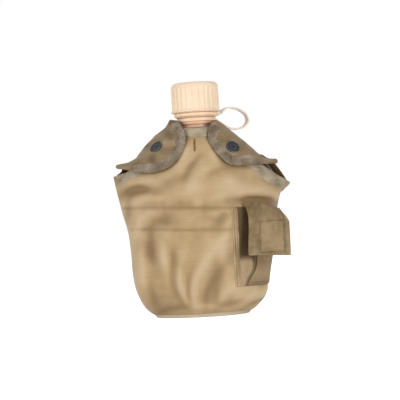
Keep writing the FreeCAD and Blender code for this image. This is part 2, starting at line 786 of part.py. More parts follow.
def flap_face(name, inset, top):
    """Face of a flap seen from the front, with its free edges drawn in by inset, closed
    by its top corners."""
    inner = float(size.flap_inner_x) + inset
    corner_z = float(collar_height - size.flap_corner_drop)
    corner_x = float(size.flap_inner_x + size.flap_corner_radius)
    radius = float(size.flap_corner_radius) - inset
    diagonal = radius * math.sqrt(0.5)
    tip_x, tip_z = hinge_end(name)
    low = vec(corner_x, 0, corner_z - radius)
    middle = vec(corner_x - diagonal, 0, corner_z - diagonal)
    side_low = vec(inner, 0, corner_z)
    corners = [
        (inner, corner_z + float(size.flap_neck_rise)),
        (float(size.flap_neck_x) + inset, float(collar_height)),
    ] + top + [(tip_x - inset, tip_z - float(size.flap_tip_height) + inset)]
    points = [side_low] + [vec(x, 0, z) for x, z in corners] + [low]
    edges = [Part.LineSegment(a, b).toShape() for a, b in zip(points, points[1:])]
    edges.append(Part.Arc(low, middle, side_low).toShape())
    face = Part.Face(Part.Wire(edges))
    return mirrored(face) if name == "left" else face


def raised(face, y_low, y_high):
    """A face in the X-Z plane made a solid between two depths."""
    base = face.copy()
    base.translate(vec(0, y_low, 0))
    return base.extrude(vec(0, float(y_high) - float(y_low), 0))


def make_flap(name, hardware):
    """The flap lies over the front of the shoulder, and beyond it runs on flat to the line
    that it is sewn to. A tape is folded over its free edges."""
    seam = -float(size.flap_seam)
    flat = seam - float(size.flap_thickness)
    tape_flat = flat - float(size.flap_binding)
    levels = cover_levels()
    outer = float(size.flap_lift + size.flap_thickness)
    collar = float(collar_height)
    width = float(size.flap_binding_width)
    outline = flap_face(name, 0.0, [(float(hinge_x), collar), hinge_end(name)])
    middle = flap_face(name, width, [(hinge_end(name)[0] - width, collar)])
    slab = raised(outline, flat, seam)
    cloth = raised(outline, -far, seam).common(skin(levels, outer)).fuse(slab)
    cloth = cloth.cut(skin(levels, float(size.flap_lift)))
    border = raised(outline, -far, seam).cut(raised(middle, -far, seam))
    tape = border.common(skin(levels, outer + float(size.flap_binding)))
    tape = tape.fuse(border.common(raised(outline, tape_flat, seam)))
    tape = tape.cut(skin(levels, outer)).cut(slab)
    for piece in hardware:
        cloth = cloth.cut(piece.Shape)
        tape = tape.cut(piece.Shape)
    feature(name + "_flap", largest_solid(cloth))
    feature(name + "_flap_binding", largest_solid(tape))


# Outline of a snap's button from its rim to its middle: shares of its radius and height.
BUTTON = [(1.0, 0.35), (0.83, 1.0), (0.67, 1.0), (0.56, 0.8), (0.0, 0.8)]


def make_snap(name):
    """Button and socket on the flap, stud on the front panel, on one axis."""
    x = float(getattr(size, name + "_snap_x"))
    z = float(collar_height - getattr(size, name + "_snap_drop"))
    face = size.flap_lift + size.flap_thickness
    point, normal = front_of_cover(x, z, float(face))
    seat = FreeCAD.Placement(point, FreeCAD.Rotation(vec(0, 0, 1), normal))
    slant = math.hypot(normal.x, normal.y)  # the layers are measured level
    inside = -(size.flap_thickness * slant)
    panel = -((face - size.fabric) * slant)
    foot = panel + size.snap_gap
    edge = size.snap_gap
    shaft = size.socket_bore - size.bead_edge
    button = body_named(name + "_snap_cap")
    revolve(button, [
        (0, inside), (shaft, inside), (shaft, -size.snap_sink), (size.snap_radius, -size.snap_sink),
    ] + [(size.snap_radius * across, size.snap_dome * up) for across, up in BUTTON])
    socket = body_named(name + "_snap_socket")
    revolve(socket, [
        (size.socket_bore, foot), (size.socket_radius - edge, foot),
        (size.socket_radius, foot + edge), (size.socket_radius, inside),
        (size.socket_bore, inside),
    ])
    stud = body_named(name + "_snap_stud")
    plate = panel - size.stud_depth
    revolve(stud, [
        (0, plate - size.stud_plate), (size.stud_flange, plate - size.stud_plate),
        (size.stud_flange, plate), (size.stud_radius - edge, plate),
        (size.stud_radius, panel + size.stud_rise / 2),
        (size.stud_radius - edge, panel + size.stud_rise), (0, panel + size.stud_rise),
    ])
    for body in (button, socket, stud):
        body.Placement = seat
    doc.recompute()
    return button, socket, stud


# ---- pocket ----

def pocket_frame():
    """Placement whose X runs along the pocket, Y points into the canteen."""
    across = size.middle_half_width - size.pocket_in
    front = size.pocket_back - size.middle_end_radius
    return FreeCAD.Placement(
        vec(across, front, 0), FreeCAD.Rotation(vec(0, 0, 1), float(size.pocket_turn))
    )


def pocket_section(z, left, right, out_left, out_right, shrink):
    """Plan of the pocket at a height: x along it, y into the canteen. The right side
    slants back to meet the round side of the cover."""
    half = float(size.pocket_half)
    root = float(size.pocket_root)
    side = out_left * float(size.gusset_share)
    corners = [
        (-half + shrink, root), (-half + shrink, -side + shrink),
        (-left + shrink, -out_left + shrink), (right - shrink, -out_right + shrink),
        (right + float(size.pocket_flare) - shrink, root),
    ]
    points = [vec(x, y, z) for x, y in corners]
    return Part.makePolygon(points + [points[0]])


def pocket_middle():
    return float(size.pocket_bottom + size.pocket_height * float(size.pocket_waist))


def make_pocket(cover):
    wall = float(size.pocket_wall)
    bottom = float(size.pocket_bottom)
    half = float(size.pocket_half)
    out_top = float(size.pocket_front_top)
    out_middle = out_top - float(size.pocket_lean)
    out_bottom = float(size.pocket_front_bottom)
    rows = [
        (bottom, half - float(size.gusset_bottom), float(size.pocket_right_bottom),
         out_bottom, out_bottom - float(size.pocket_bottom_skew)),
        (pocket_middle(), half - float(size.gusset_middle), float(size.pocket_right_middle),
         out_middle, out_middle),
        (float(pocket_top), half - float(size.gusset_top), float(size.pocket_right_top),
         out_top, out_top),
    ]
    inner_rows = [(bottom + wall,) + rows[0][1:], rows[1], (rows[2][0] + wall,) + rows[2][1:]]
    outside = Part.makeLoft([pocket_section(*row, 0.0) for row in rows], True, True)
    inside = Part.makeLoft([pocket_section(*row, wall) for row in inner_rows], True, True)
    solid = outside.cut(inside)
    solid.Placement = pocket_frame()
    return feature("pocket_body", largest_solid(solid.cut(cover)))


def make_pocket_flap(cover):
    """The flap turns on its sewn line, the strip above it is sewn to the cover."""
    half = float(size.pocket_flap_half)
    seam_z = float(pocket_flap_seam)
    seam_out = float(size.pocket_flap_seam_out)
    out = float(size.pocket_flap_out)
    shoulder = float(pocket_flap_shoulder)
    hem = float(pocket_flap_hem)
    flare = float(size.pocket_flap_flare)
    thickness = float(size.pocket_flap_thickness)
    top = seam_z - float(size.pocket_flap_seam_gap)
    profile = [
        (seam_out, top), (out, shoulder), (out + flare, hem),
        (out + flare + thickness, hem), (out + thickness, shoulder + thickness / 2),
        (seam_out + thickness, top),
    ]
    points = [vec(-half, -out_at, z) for out_at, z in profile]
    flap = Part.Face(Part.makePolygon(points + [points[0]])).extrude(vec(2 * half, 0, 0))
    flap.Placement = pocket_frame()
    strip = box(
        -half, half, -seam_out - thickness, size.pocket_root,
        seam_z, seam_z + float(size.pocket_flap_seam_height)
    )
    strip.Placement = pocket_frame().multiply(strip.Placement)
    strip = largest_solid(strip.cut(cover))
    return feature("pocket_flap", flap), feature("pocket_flap_seam", strip)


def make_tapes():
    """Loop tape on the pocket's front, hook tape under the flap."""
    half = float(size.tape_half)
    thick = float(size.tape_thickness)
    margin = float(size.tape_margin)
    mouth = float(pocket_top)
    shoulder = float(pocket_flap_shoulder)
    hem = float(pocket_flap_hem)
    bottom = hem + margin

    def pocket_out(z):
        lean = float(size.pocket_lean) / (mouth - pocket_middle())
        return float(size.pocket_front_top) - lean * (mouth - z)

    def flap_out(z):
        flare = float(size.pocket_flap_flare) / (shoulder - hem)
        return float(size.pocket_flap_out) + flare * (shoulder - z)

    loop_right = float(size.pocket_right_middle - size.tape_edge)
    for label, face_at, sign, high, right in (
        ("pocket_loop_tape", pocket_out, 1, mouth - margin, loop_right),
        ("pocket_hook_tape", flap_out, -1, bottom + float(size.tape_height), half),
    ):
        outline = [
            (face_at(bottom), bottom), (face_at(bottom) + sign * thick, bottom),
            (face_at(high) + sign * thick, high), (face_at(high), high),
        ]
        points = [vec(-half, -out, z) for out, z in outline]
        face = Part.Face(Part.makePolygon(points + [points[0]]))
        tape = face.extrude(vec(half + right, 0, 0))
        tape.Placement = pocket_frame()
        feature(label, tape)


# ---- back: webbing and belt keepers ----

web_inside = size.chest_end_radius + size.lining + size.bottle_ease + size.fabric + size.web_gap
web_outside = web_inside + size.web_thickness
leg_inner = web_outside + size.belt_space


def make_webbing(cover):
    low = size.web_low
    high = size.web_low + size.web_height
    half = size.web_half
    pad = size.web_pad_half
    keeper_edge = size.keeper_x + size.keeper_width / 2 + size.web_pad_gap
    plate = box(-half, half, web_inside, web_outside, low, high)
    pads = [
        box(-pad, pad, 0, web_inside, low, high),
        box(keeper_edge, half, 0, web_inside, low, high),
        box(-half, -keeper_edge, 0, web_inside, low, high),
    ]
    solid = plate.fuse([piece.cut(cover) for piece in pads])
    return feature("back_webbing", largest_solid(solid.cut(cover).removeSplitter()))


def make_keeper(name, side):
    """One strip of spring steel: front leg, bend over the belt, back leg through the
    webbing, and the upturned hook that catches the front leg."""
    thick = float(size.keeper_thickness)
    back = float(web_inside - size.keeper_play) - thick / 2
    front = float(leg_inner) + thick / 2
    bottom = float(size.keeper_bottom)
    top = float(size.keeper_top)
    hook = front + thick + float(size.hook_gap)
    route = [
        (front, bottom + float(size.leg_gap)), (front, top), (back, top), (back, bottom),
        (hook, bottom), (hook, bottom + float(size.hook_height)),
    ]
    strip = bent_strip(route, size.keeper_bend, thick, size.keeper_width)
    strip.rotate(vec(0, 0, 0), vec(0, 0, 1), 90)
    strip.translate(vec(side * float(size.keeper_x), 0, 0))
    return feature(name + "_keeper", strip)


def make_slider(name, side):
    """A sheet sleeve bent round the keeper's front leg, with a thumb tab."""
    thick = float(size.slider_thickness)
    leg = float(size.keeper_thickness)
    height = float(size.slider_height)
    gap = float(size.slider_gap) + thick / 2
    half = float(size.keeper_width) / 2 + gap
    outer = leg / 2 + gap
    lip = half - float(size.slider_lip)
    route = [(-lip, outer), (-half, outer), (-half, -outer), (half, -outer), (half, outer),
             (lip, outer)]
    sleeve = bent_strip(route, size.slider_bend, thick, height)
    sleeve.rotate(vec(0, 0, 0), vec(1, 0, 0), 90)
    sleeve.rotate(vec(0, 0, 0), vec(0, 0, 1), 180)
    thumb = float(size.keeper_width * size.thumb_share) / 2
    tab = box(
        -thumb, thumb, outer, outer + thick / 2 + float(size.slider_thumb),
        height / 2 - thick, height / 2
    )
    slider = sleeve.fuse(tab)
    rest = float(size.keeper_bottom + size.hook_height + size.slider_rest) + height / 2
    slider.translate(vec(side * float(size.keeper_x), float(leg_inner) + leg / 2, rest))
    return feature(name + "_slider", slider)


# ---- assembly ----

make_bottle()
neck_ring = make_strap_ring(
    "strap_neck_ring", size.neck_radius + size.running_gap, size.strap_ring_wall,
    upper_bead_top, size.strap_ring_height
)
make_strap_ring(
    "strap_cap_ring", size.skirt_radius + size.running_gap, size.cap_ring_wall,
    flange_base - size.running_gap - size.cap_ring_height, size.cap_ring_height
)
make_strap(neck_ring)
make_cap()
make_liner()

left_snap = make_snap("left")
right_snap = make_snap("right")
make_panels([left_snap[2], right_snap[2]])
make_linings()
make_collar_binding()
make_flap("left", left_snap[:2])
make_flap("right", right_snap[:2])

envelope = skin(cover_levels(), float(size.fabric))
make_pocket(envelope)
make_pocket_flap(envelope)
make_tapes()

make_webbing(envelope)
for keeper_name, keeper_side in (("left", -1), ("right", 1)):
    make_keeper(keeper_name, keeper_side)
    make_slider(keeper_name, keeper_side)

doc.recompute()
for item in doc.Objects:
    if "Invalid" in item.State or "Error" in item.State:
        raise RuntimeError(f"{item.Name} failed: {item.State}")
for part in subparts:
    if part.Shape.isNull() or not part.Shape.isValid() or not part.Shape.Solids:
        raise RuntimeError(f"{part.Label} has no valid solid")

os.makedirs("parts", exist_ok=True)
for part in subparts:
    part.Shape.exportStep(os.path.join("parts", part.Label + ".step"))
print(len(subparts), "sub-parts written")
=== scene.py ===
import math

import bpy
from mathutils import Matrix, Vector, noise


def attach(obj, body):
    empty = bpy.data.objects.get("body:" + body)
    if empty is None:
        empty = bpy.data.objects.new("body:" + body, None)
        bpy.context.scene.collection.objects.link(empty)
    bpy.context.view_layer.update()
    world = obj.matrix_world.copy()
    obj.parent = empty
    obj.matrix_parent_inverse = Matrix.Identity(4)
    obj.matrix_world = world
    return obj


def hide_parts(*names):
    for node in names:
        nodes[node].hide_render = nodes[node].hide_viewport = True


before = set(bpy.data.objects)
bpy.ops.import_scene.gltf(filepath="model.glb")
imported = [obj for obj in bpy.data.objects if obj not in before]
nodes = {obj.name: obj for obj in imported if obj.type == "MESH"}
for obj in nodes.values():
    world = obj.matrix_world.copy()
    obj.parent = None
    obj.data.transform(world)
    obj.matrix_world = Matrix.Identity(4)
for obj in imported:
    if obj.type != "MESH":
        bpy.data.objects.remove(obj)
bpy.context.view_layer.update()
mm = 0.001

coverForm = {  # height, half width, end radius of the inside of the cloth, in mm
    "levels": [
        (1.3, 44.5, 20.5), (8.0, 50.5, 24.0), (16.0, 56.0, 26.7), (30.0, 59.5, 28.0),
        (62.0, 63.0, 29.1), (98.0, 68.5, 30.1), (120.0, 69.8, 29.5), (134.0, 63.5, 27.7),
        (145.0, 55.0, 26.6), (178.0, 18.9, 18.3),
    ],
    "straightFrom": 134.0,
    "swayLeft": [  # how much fuller the sides hang than the form, by height
        (0, 0.6), (3, 2.4), (8, 4.2), (16, 3.9), (30, 5.3), (45, 5.2), (62, 3.8), (82, 2.4),
        (100, 2.4), (110, 1.4), (122, 0.0),
    ],
    "swayRight": [
        (0, -8.0), (4, -4.6), (9, -3.0), (16, -2.0), (30, -2.1), (50, -1.4), (72, 0.0),
    ],
    "frontCrown": 0.33,
    "backHollow": 0.087,
}
frontAngle = 2 * math.atan(coverForm["frontCrown"])
backAngle = 2 * math.atan(coverForm["backHollow"])


def smoothStep(low, high, value):
    part = min(1.0, max(0.0, (value - low) / (high - low)))
    return part * part * (3 - 2 * part)


def bell(away, width):
    return math.exp(-(away / width) ** 2)


def noiseAt(x, y, z):
    return noise.noise(Vector((x, y, z)))


def sideOf(x):
    return -1 if x < 0 else 1


# Smooth reading of a short list of (place, value...) rows.
def alongKeys(keys, value):
    if value <= keys[0][0]:
        return keys[0][1:]
    if value >= keys[-1][0]:
        return keys[-1][1:]
    count = len(keys)
    index = max(i for i in range(count - 1) if keys[i][0] <= value)
    before = keys[max(index - 1, 0)]
    first, last = keys[index], keys[index + 1]
    after = keys[min(index + 2, count - 1)]
    span = last[0] - first[0]
    part = (value - first[0]) / span
    result = []
    for k in range(1, len(first)):
        slopeIn = (last[k] - before[k]) / max(last[0] - before[0], 1e-9) * span
        slopeOut = (after[k] - first[k]) / max(after[0] - first[0], 1e-9) * span
        a = 2 * part ** 3 - 3 * part ** 2 + 1
        b = part ** 3 - 2 * part ** 2 + part
        c = -2 * part ** 3 + 3 * part ** 2
        d = part ** 3 - part ** 2
        result.append(a * first[k] + b * slopeIn + c * last[k] + d * slopeOut)
    return tuple(result)


# Straight reading of such a list, carried on past its last row.
def straightKeys(keys, value):
    if value <= keys[0][0]:
        return keys[0][1:]
    index = max(i for i in range(len(keys) - 1) if keys[i][0] <= value)
    first, last = keys[index], keys[index + 1]
    part = (value - first[0]) / (last[0] - first[0])
    return tuple(a + (b - a) * part for a, b in zip(first[1:], last[1:]))


def formAt(height, offset):
    reader = straightKeys if height > coverForm["straightFrom"] else alongKeys
    half, radius = reader(coverForm["levels"], height)
    return half + offset, radius + offset


# Point and outward direction on the kidney section, in mm. turn is 0 in the middle of the
# front, 1 at the end of the bowed front, 2 at the side, 3 where the hollow back starts and
# 4 in its middle, and negative on the left. With a reach the cloth leaves the round side
# and runs straight to a seam that far outside it.
def sectionPoint(height, turn, offset, reach=0.0):
    side = sideOf(turn)
    amount = abs(turn)
    half, radius = formAt(height, offset)
    centre = half - radius
    if amount <= 1:
        angle = frontAngle * amount
        bow = radius + centre / math.sin(frontAngle)
        x = bow * math.sin(angle)
        y = centre / math.tan(frontAngle) - bow * math.cos(angle)
        across, depth = math.sin(angle), -math.cos(angle)
    elif amount <= 3:
        if amount <= 2:
            angle = frontAngle + (math.pi / 2 - frontAngle) * (amount - 1)
        else:
            angle = math.pi / 2 + (math.pi / 2 + backAngle) * (amount - 2)
        lean = math.acos(radius / (radius + max(reach, 0.0)))
        away = abs(angle - math.pi / 2)
        if away < lean:
            part = 1 - away / lean
            x = centre + radius * math.cos(lean)
            y = radius * math.sin(lean)
            x = x + (centre + radius + reach - x) * part
            y = y * (1 - part) * (-1 if amount < 2 else 1)
            across, depth = math.cos(lean), math.sin(lean) * (-1 if amount < 2 else 1)
        else:
            x = centre + radius * math.sin(angle)
            y = -radius * math.cos(angle)
            across, depth = math.sin(angle), -math.cos(angle)
    else:
        angle = backAngle * (4 - amount)
        hollow = centre / math.sin(backAngle) - radius
        x = hollow * math.sin(angle)
        y = centre / math.tan(backAngle) - hollow * math.cos(angle)
        across, depth = -math.sin(angle), math.cos(angle)
    sway = alongKeys(coverForm["swayLeft" if side < 0 else "swayRight"], height)[0]
    x += sway * smoothStep(0.1, 1.8, amount) * (1 - smoothStep(2.2, 3.9, amount))
    return Vector((side * x, y, height)), Vector((side * across, depth, 0))


# The turn of the point on the front half at x.
def turnAt(x, height, offset, reach=0.0):
    half, radius = formAt(height, offset)
    centre = half - radius
    side = sideOf(x)
    away = abs(x)
    edge = centre + radius * math.sin(frontAngle)
    if away <= edge:
        bow = radius + centre / math.sin(frontAngle)
        return side * math.asin(away / bow) / frontAngle
    lean = math.acos(radius / (radius + max(reach, 0.0)))
    leaves = centre + radius * math.cos(lean)
    if away <= leaves:
        angle = math.asin(min(1.0, (away - centre) / radius))
    else:
        part = min(1.0, (away - leaves) / max(0.05, half + reach - leaves))
        angle = math.pi / 2 - lean * (1 - part)
    return side * (1 + (angle - frontAngle) / (math.pi / 2 - frontAngle))


# sectionPoint with the slope of the sides in the outward direction.
def formPoint(height, turn, offset, reach=0.0):
    point, out = sectionPoint(height, turn, offset, reach)
    above = sectionPoint(height + 1, turn, offset, reach)[0]
    below = sectionPoint(height - 1, turn, offset, reach)[0]
    rise = above - below
    out = out - rise * (out.dot(rise) / rise.length_squared)
    return point, out.normalized()


def deselectAll():
    if bpy.context.object and bpy.context.object.mode != "OBJECT":
        bpy.ops.object.mode_set(mode="OBJECT")
    bpy.ops.object.select_all(action="DESELECT")


def makeActive(piece):
    deselectAll()
    piece.select_set(True)
    bpy.context.view_layer.objects.active = piece


def placed(name, data):
    item = bpy.data.objects.new(name, data)
    bpy.context.scene.collection.objects.link(item)
    return item


def applyModifier(piece, kind, **settings):
    makeActive(piece)
    modifier = piece.modifiers.new(kind.lower(), kind)
    for name, value in settings.items():
        setattr(modifier, name, value)
    bpy.ops.object.modifier_apply(modifier=modifier.name)


def smooth(piece):
    makeActive(piece)
    bpy.ops.object.shade_smooth()


# Faces point outwards on a closed piece.
def outwards(piece):
    makeActive(piece)
    bpy.ops.object.mode_set(mode="EDIT")
    bpy.ops.mesh.select_all(action="SELECT")
    bpy.ops.mesh.remove_doubles(threshold=1e-6)
    bpy.ops.mesh.normals_make_consistent(inside=False)
    bpy.ops.object.mode_set(mode="OBJECT")


# A grid whose points are moved one by one to place(a, b), with a and b from 0 to 1.
def shapedGrid(name, across, up, place):
    deselectAll()
    bpy.ops.mesh.primitive_grid_add(x_subdivisions=across, y_subdivisions=up, size=1)
    piece = bpy.context.object
    piece.name = name
    piece.data.name = name
    for vertex in piece.data.vertices:
        point = place(vertex.co.x + 0.5, vertex.co.y + 0.5)
        vertex.co = point * mm
    piece.data.update()
    return piece


# Writes a reading of each point to the crease attribute, its hollows below 0 and its crests above;
# the cloth is painted darker below 0 and lighter above, as painted shade and painted highlight
# where the reading follows folds and shaded places.
def marked(piece, reading, facing=None):
    layer = piece.data.attributes.new("crease", "FLOAT", "POINT")
    values = [
        0.0 if facing and vertex.normal.dot(facing) < 0.1 else reading(vertex.co / mm)
        for vertex in piece.data.vertices
    ]
    layer.data.foreach_set("value", values)


# Turns an open sheet to look along a direction, gives it its thickness and rounds it off.
def thicken(piece, direction, thickness, rounding=1, offset=1.0):
    direction = Vector(direction)
    if sum(face.area * face.normal.dot(direction) for face in piece.data.polygons) < 0:
        piece.data.flip_normals()
    applyModifier(piece, "SOLIDIFY", thickness=thickness * mm, offset=offset)
    if rounding:
        applyModifier(piece, "SUBSURF", levels=rounding, render_levels=rounding)
    smooth(piece)


# Evenly spaced points of a smooth line through a few keys, all in mm.
def curvePoints(keys, count):
    lengths = [0.0]
    for first, last in zip(keys, keys[1:]):
        lengths.append(lengths[-1] + (Vector(last) - Vector(first)).length)
    rows = [(length,) + tuple(key) for length, key in zip(lengths, keys)]
    total = lengths[-1]
    return [Vector(alongKeys(rows, total * i / (count - 1))) for i in range(count)]


def flatLine(keys, count):
    return curvePoints([Vector((x, 0, z)) for x, z in keys], count)


def lineAt(points, part):
    place = min(max(part, 0.0), 1.0) * (len(points) - 1)
    index = min(int(place), len(points) - 2)
    return points[index].lerp(points[index + 1], place - index)


threadForm = {"length": 2.1, "pitch": 3.0, "radius": 0.34}


# A row of thread stitches along a line, each a small rounded grain.
def stitches(name, points, outs, form=threadForm):
    deselectAll()
    bpy.ops.mesh.primitive_uv_sphere_add(segments=6, ring_count=5, radius=1.0)
    grain = bpy.context.object
    grainPoints = [vertex.co.copy() for vertex in grain.data.vertices]
    grainFaces = [tuple(face.vertices) for face in grain.data.polygons]
    bpy.data.objects.remove(grain)
    total = sum((b - a).length for a, b in zip(points, points[1:]))
    count = max(2, int(total / form["pitch"]))
    allPoints, allFaces = [], []
    for number in range(count):
        part = (number + 0.5) / count
        here = lineAt(points, part)
        ahead = lineAt(points, part + 0.3 / count) - lineAt(points, part - 0.3 / count)
        out = lineAt(outs, part).normalized()
        along = (ahead - out * ahead.dot(out)).normalized()
        sideways = out.cross(along)
        base = len(allPoints)
        for co in grainPoints:
            place = here + along * co.z * form["length"] / 2
            place += sideways * co.x * form["radius"] + out * co.y * form["radius"]
            allPoints.append(place * mm)
        allFaces += [tuple(base + i for i in face) for face in grainFaces]
    mesh = bpy.data.meshes.new(name)
    mesh.from_pydata(allPoints, [], allFaces)
    piece = placed(name, mesh)
    outwards(piece)
    smooth(piece)
    return piece


def joined(name, pieces):
    deselectAll()
    for piece in pieces:
        piece.select_set(True)
    bpy.context.view_layer.objects.active = pieces[0]
    bpy.ops.object.join()
    result = bpy.context.object
    result.name = name
    result.data.name = name
    return result


def dress(piece, material, body, replaces=()):
    piece.data.materials.clear()
    piece.data.materials.append(material)
    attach(piece, body)
    if replaces:
        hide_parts(*replaces)


def newGroup(name, inputs, outputs):
    group = bpy.data.node_groups.new(name, "ShaderNodeTree")
    for socketName, socketType, value in inputs:
        socket = group.interface.new_socket(socketName, in_out="INPUT", socket_type=socketType)
        socket.default_value = value
    for socketName, socketType in outputs:
        group.interface.new_socket(socketName, in_out="OUTPUT", socket_type=socketType)
    return (group, group.nodes.new("NodeGroupInput").outputs,
            group.nodes.new("NodeGroupOutput").inputs)


def link(tree, fromSocket, toSocket):
    tree.links.new(fromSocket, toSocket)


def setValues(node, values):
    for name, value in values.items():
        node.inputs[name].default_value = value


def mathNode(tree, operation, first, second):
    node = tree.nodes.new("ShaderNodeMath")
    node.operation = operation
    for index, value in enumerate((first, second)):
        if isinstance(value, (int, float)):
            node.inputs[index].default_value = value
        else:
            link(tree, value, node.inputs[index])
    return node.outputs[0]


def mixColour(tree, factor, first, second, blend="MIX"):
    node = tree.nodes.new("ShaderNodeMix")
    node.data_type = "RGBA"
    node.blend_type = blend
    for socket, value in ((node.inputs[0], factor), (node.inputs[6], first),
                          (node.inputs[7], second)):
        if isinstance(value, (int, float, tuple)):
            socket.default_value = value
        else:
            link(tree, value, socket)
    return node.outputs[2]


def noiseNode(tree, vector, scale, detail, roughness=0.55):
    node = tree.nodes.new("ShaderNodeTexNoise")
    setValues(node, {"Detail": detail, "Roughness": roughness, "Distortion": 0.0})
    link(tree, vector, node.inputs["Vector"])
    if isinstance(scale, (int, float)):
        node.inputs["Scale"].default_value = scale
    else:
        link(tree, scale, node.inputs["Scale"])
    return node.outputs["Fac"]


# Crossed yarns, slubs and faded patches, lighter on the crests and darker in the hollows of the
# crease reading: painted highlight and painted shade where that reading follows folds and shaded
# places, random tone elsewhere.
def makeWeave():
    group, given, result = newGroup("weave", [
        ("Vector", "NodeSocketVector", (0, 0, 0)),
        ("Colour", "NodeSocketColor", (0.5, 0.4, 0.2, 1)),
        ("Faded", "NodeSocketColor", (0.6, 0.5, 0.3, 1)),
        ("Yarn Scale", "NodeSocketFloat", 800.0),
        ("Patch Scale", "NodeSocketFloat", 30.0),
        ("Slub", "NodeSocketFloat", 0.3),
        ("Tone And Painted Shade", "NodeSocketFloat", 0.0),
        ("Gloss", "NodeSocketFloat", 0.6),
    ], [("Colour", "NodeSocketColor"), ("Height", "NodeSocketFloat"),
        ("Roughness", "NodeSocketFloat")])
    yarns = []
    for direction in ("X", "Z"):
        wave = group.nodes.new("ShaderNodeTexWave")
        wave.wave_type = "BANDS"
        wave.bands_direction = direction
        setValues(wave, {"Distortion": 0.6, "Detail": 1.0, "Detail Scale": 2.0})
        link(group, given["Vector"], wave.inputs["Vector"])
        link(group, given["Yarn Scale"], wave.inputs["Scale"])
        yarns.append(wave.outputs["Fac"])
    cross = mathNode(group, "MULTIPLY", yarns[0], yarns[1])
    fine = noiseNode(group, given["Vector"], 900.0, 2.0)
    patch = noiseNode(group, given["Vector"], given["Patch Scale"], 4.0, 0.6)
    stretch = group.nodes.new("ShaderNodeMapping")
    stretch.inputs["Scale"].default_value = (60.0, 60.0, 600.0)
    link(group, given["Vector"], stretch.inputs["Vector"])
    slub = noiseNode(group, stretch.outputs["Vector"], 1.0, 2.0)
    fadeAndHighlight = mathNode(group, "SUBTRACT", patch, 0.32)
    fadeAndHighlight = mathNode(group, "MULTIPLY", fadeAndHighlight, 1.5)
    # Lighter towards the faded colour where the reading is above 0: painted highlight on fold
    # crests.
    toneAndHighlight = mathNode(group, "MAXIMUM", given["Tone And Painted Shade"], 0.0)
    fadeAndHighlight = mathNode(group, "ADD", fadeAndHighlight, toneAndHighlight)
    fadeAndHighlight = mathNode(group, "MINIMUM", fadeAndHighlight, 1.0)
    base = mixColour(group, fadeAndHighlight, given["Colour"], given["Faded"])
    # Darkened by this colour where the reading is below 0: painted shade in folds and shaded
    # places.
    hollow = mathNode(group, "MULTIPLY", given["Tone And Painted Shade"], -1.0)
    hollow = mathNode(group, "MINIMUM", mathNode(group, "MAXIMUM", hollow, 0.0), 1.0)
    base = mixColour(group, hollow, base, (0.50, 0.43, 0.33, 1), "MULTIPLY")
    slubPart = mathNode(group, "MULTIPLY", slub, given["Slub"])
    base = mixColour(group, slubPart, base, (0.25, 0.19, 0.11, 1), "MULTIPLY")
    shade = mathNode(group, "MULTIPLY", cross, 0.16)
    base = mixColour(group, shade, base, given["Faded"])
    link(group, base, result["Colour"])
    height = mathNode(group, "ADD", cross, mathNode(group, "MULTIPLY", fine, 0.4))
    link(group, height, result["Height"])
    rough = mathNode(group, "MULTIPLY", patch, 0.25)
    rough = mathNode(group, "ADD", rough, given["Gloss"])
    link(group, rough, result["Roughness"])
    return group


# Scuffs and handling marks for hard pieces.
def makeScuff():
    group, given, result = newGroup("scuff", [
        ("Vector", "NodeSocketVector", (0, 0, 0)),
        ("Colour", "NodeSocketColor", (0.5, 0.5, 0.5, 1)),
        ("Worn", "NodeSocketColor", (0.7, 0.7, 0.7, 1)),
        ("Scale", "NodeSocketFloat", 90.0),
        ("Amount", "NodeSocketFloat", 0.4),
        ("Roughness", "NodeSocketFloat", 0.4),
    ], [("Colour", "NodeSocketColor"), ("Height", "NodeSocketFloat"),
        ("Roughness", "NodeSocketFloat")])
    broad = noiseNode(group, given["Vector"], given["Scale"], 5.0, 0.62)
    fine = noiseNode(group, given["Vector"], 1400.0, 2.0)
    ramp = group.nodes.new("ShaderNodeValToRGB")
    ramp.color_ramp.elements[0].position = 0.42
    ramp.color_ramp.elements[1].position = 0.66
    link(group, broad, ramp.inputs["Fac"])
    worn = mathNode(group, "MULTIPLY", ramp.outputs["Color"], given["Amount"])
    colour = mixColour(group, worn, given["Colour"], given["Worn"])
    link(group, colour, result["Colour"])
    height = mathNode(group, "ADD", broad,
                      mathNode(group, "MULTIPLY", fine, 0.25))
    link(group, height, result["Height"])
    change = mathNode(group, "MULTIPLY", worn, 0.25)
    link(group, mathNode(group, "ADD", given["Roughness"], change),
         result["Roughness"])
    return group


weaveGroup = makeWeave()
scuffGroup = makeScuff()


def newMaterial(name, group, values, shaderValues, bump, bumpDistance):
    material = bpy.data.materials.new(name)
    material.use_nodes = True
    tree = material.node_tree
    shader = tree.nodes["Principled BSDF"]
    setValues(shader, shaderValues)
    surface = tree.nodes.new("ShaderNodeGroup")
    surface.node_tree = group
    setValues(surface, values)
    bumpNode = tree.nodes.new("ShaderNodeBump")
    setValues(bumpNode, {"Strength": bump, "Distance": bumpDistance})
    coordinates = tree.nodes.new("ShaderNodeTexCoord")
    link(tree, coordinates.outputs["Object"], surface.inputs["Vector"])
    link(tree, surface.outputs["Colour"], shader.inputs["Base Color"])
    link(tree, surface.outputs["Roughness"], shader.inputs["Roughness"])
    link(tree, surface.outputs["Height"], bumpNode.inputs["Height"])
    link(tree, bumpNode.outputs["Normal"], shader.inputs["Normal"])
    return material, surface


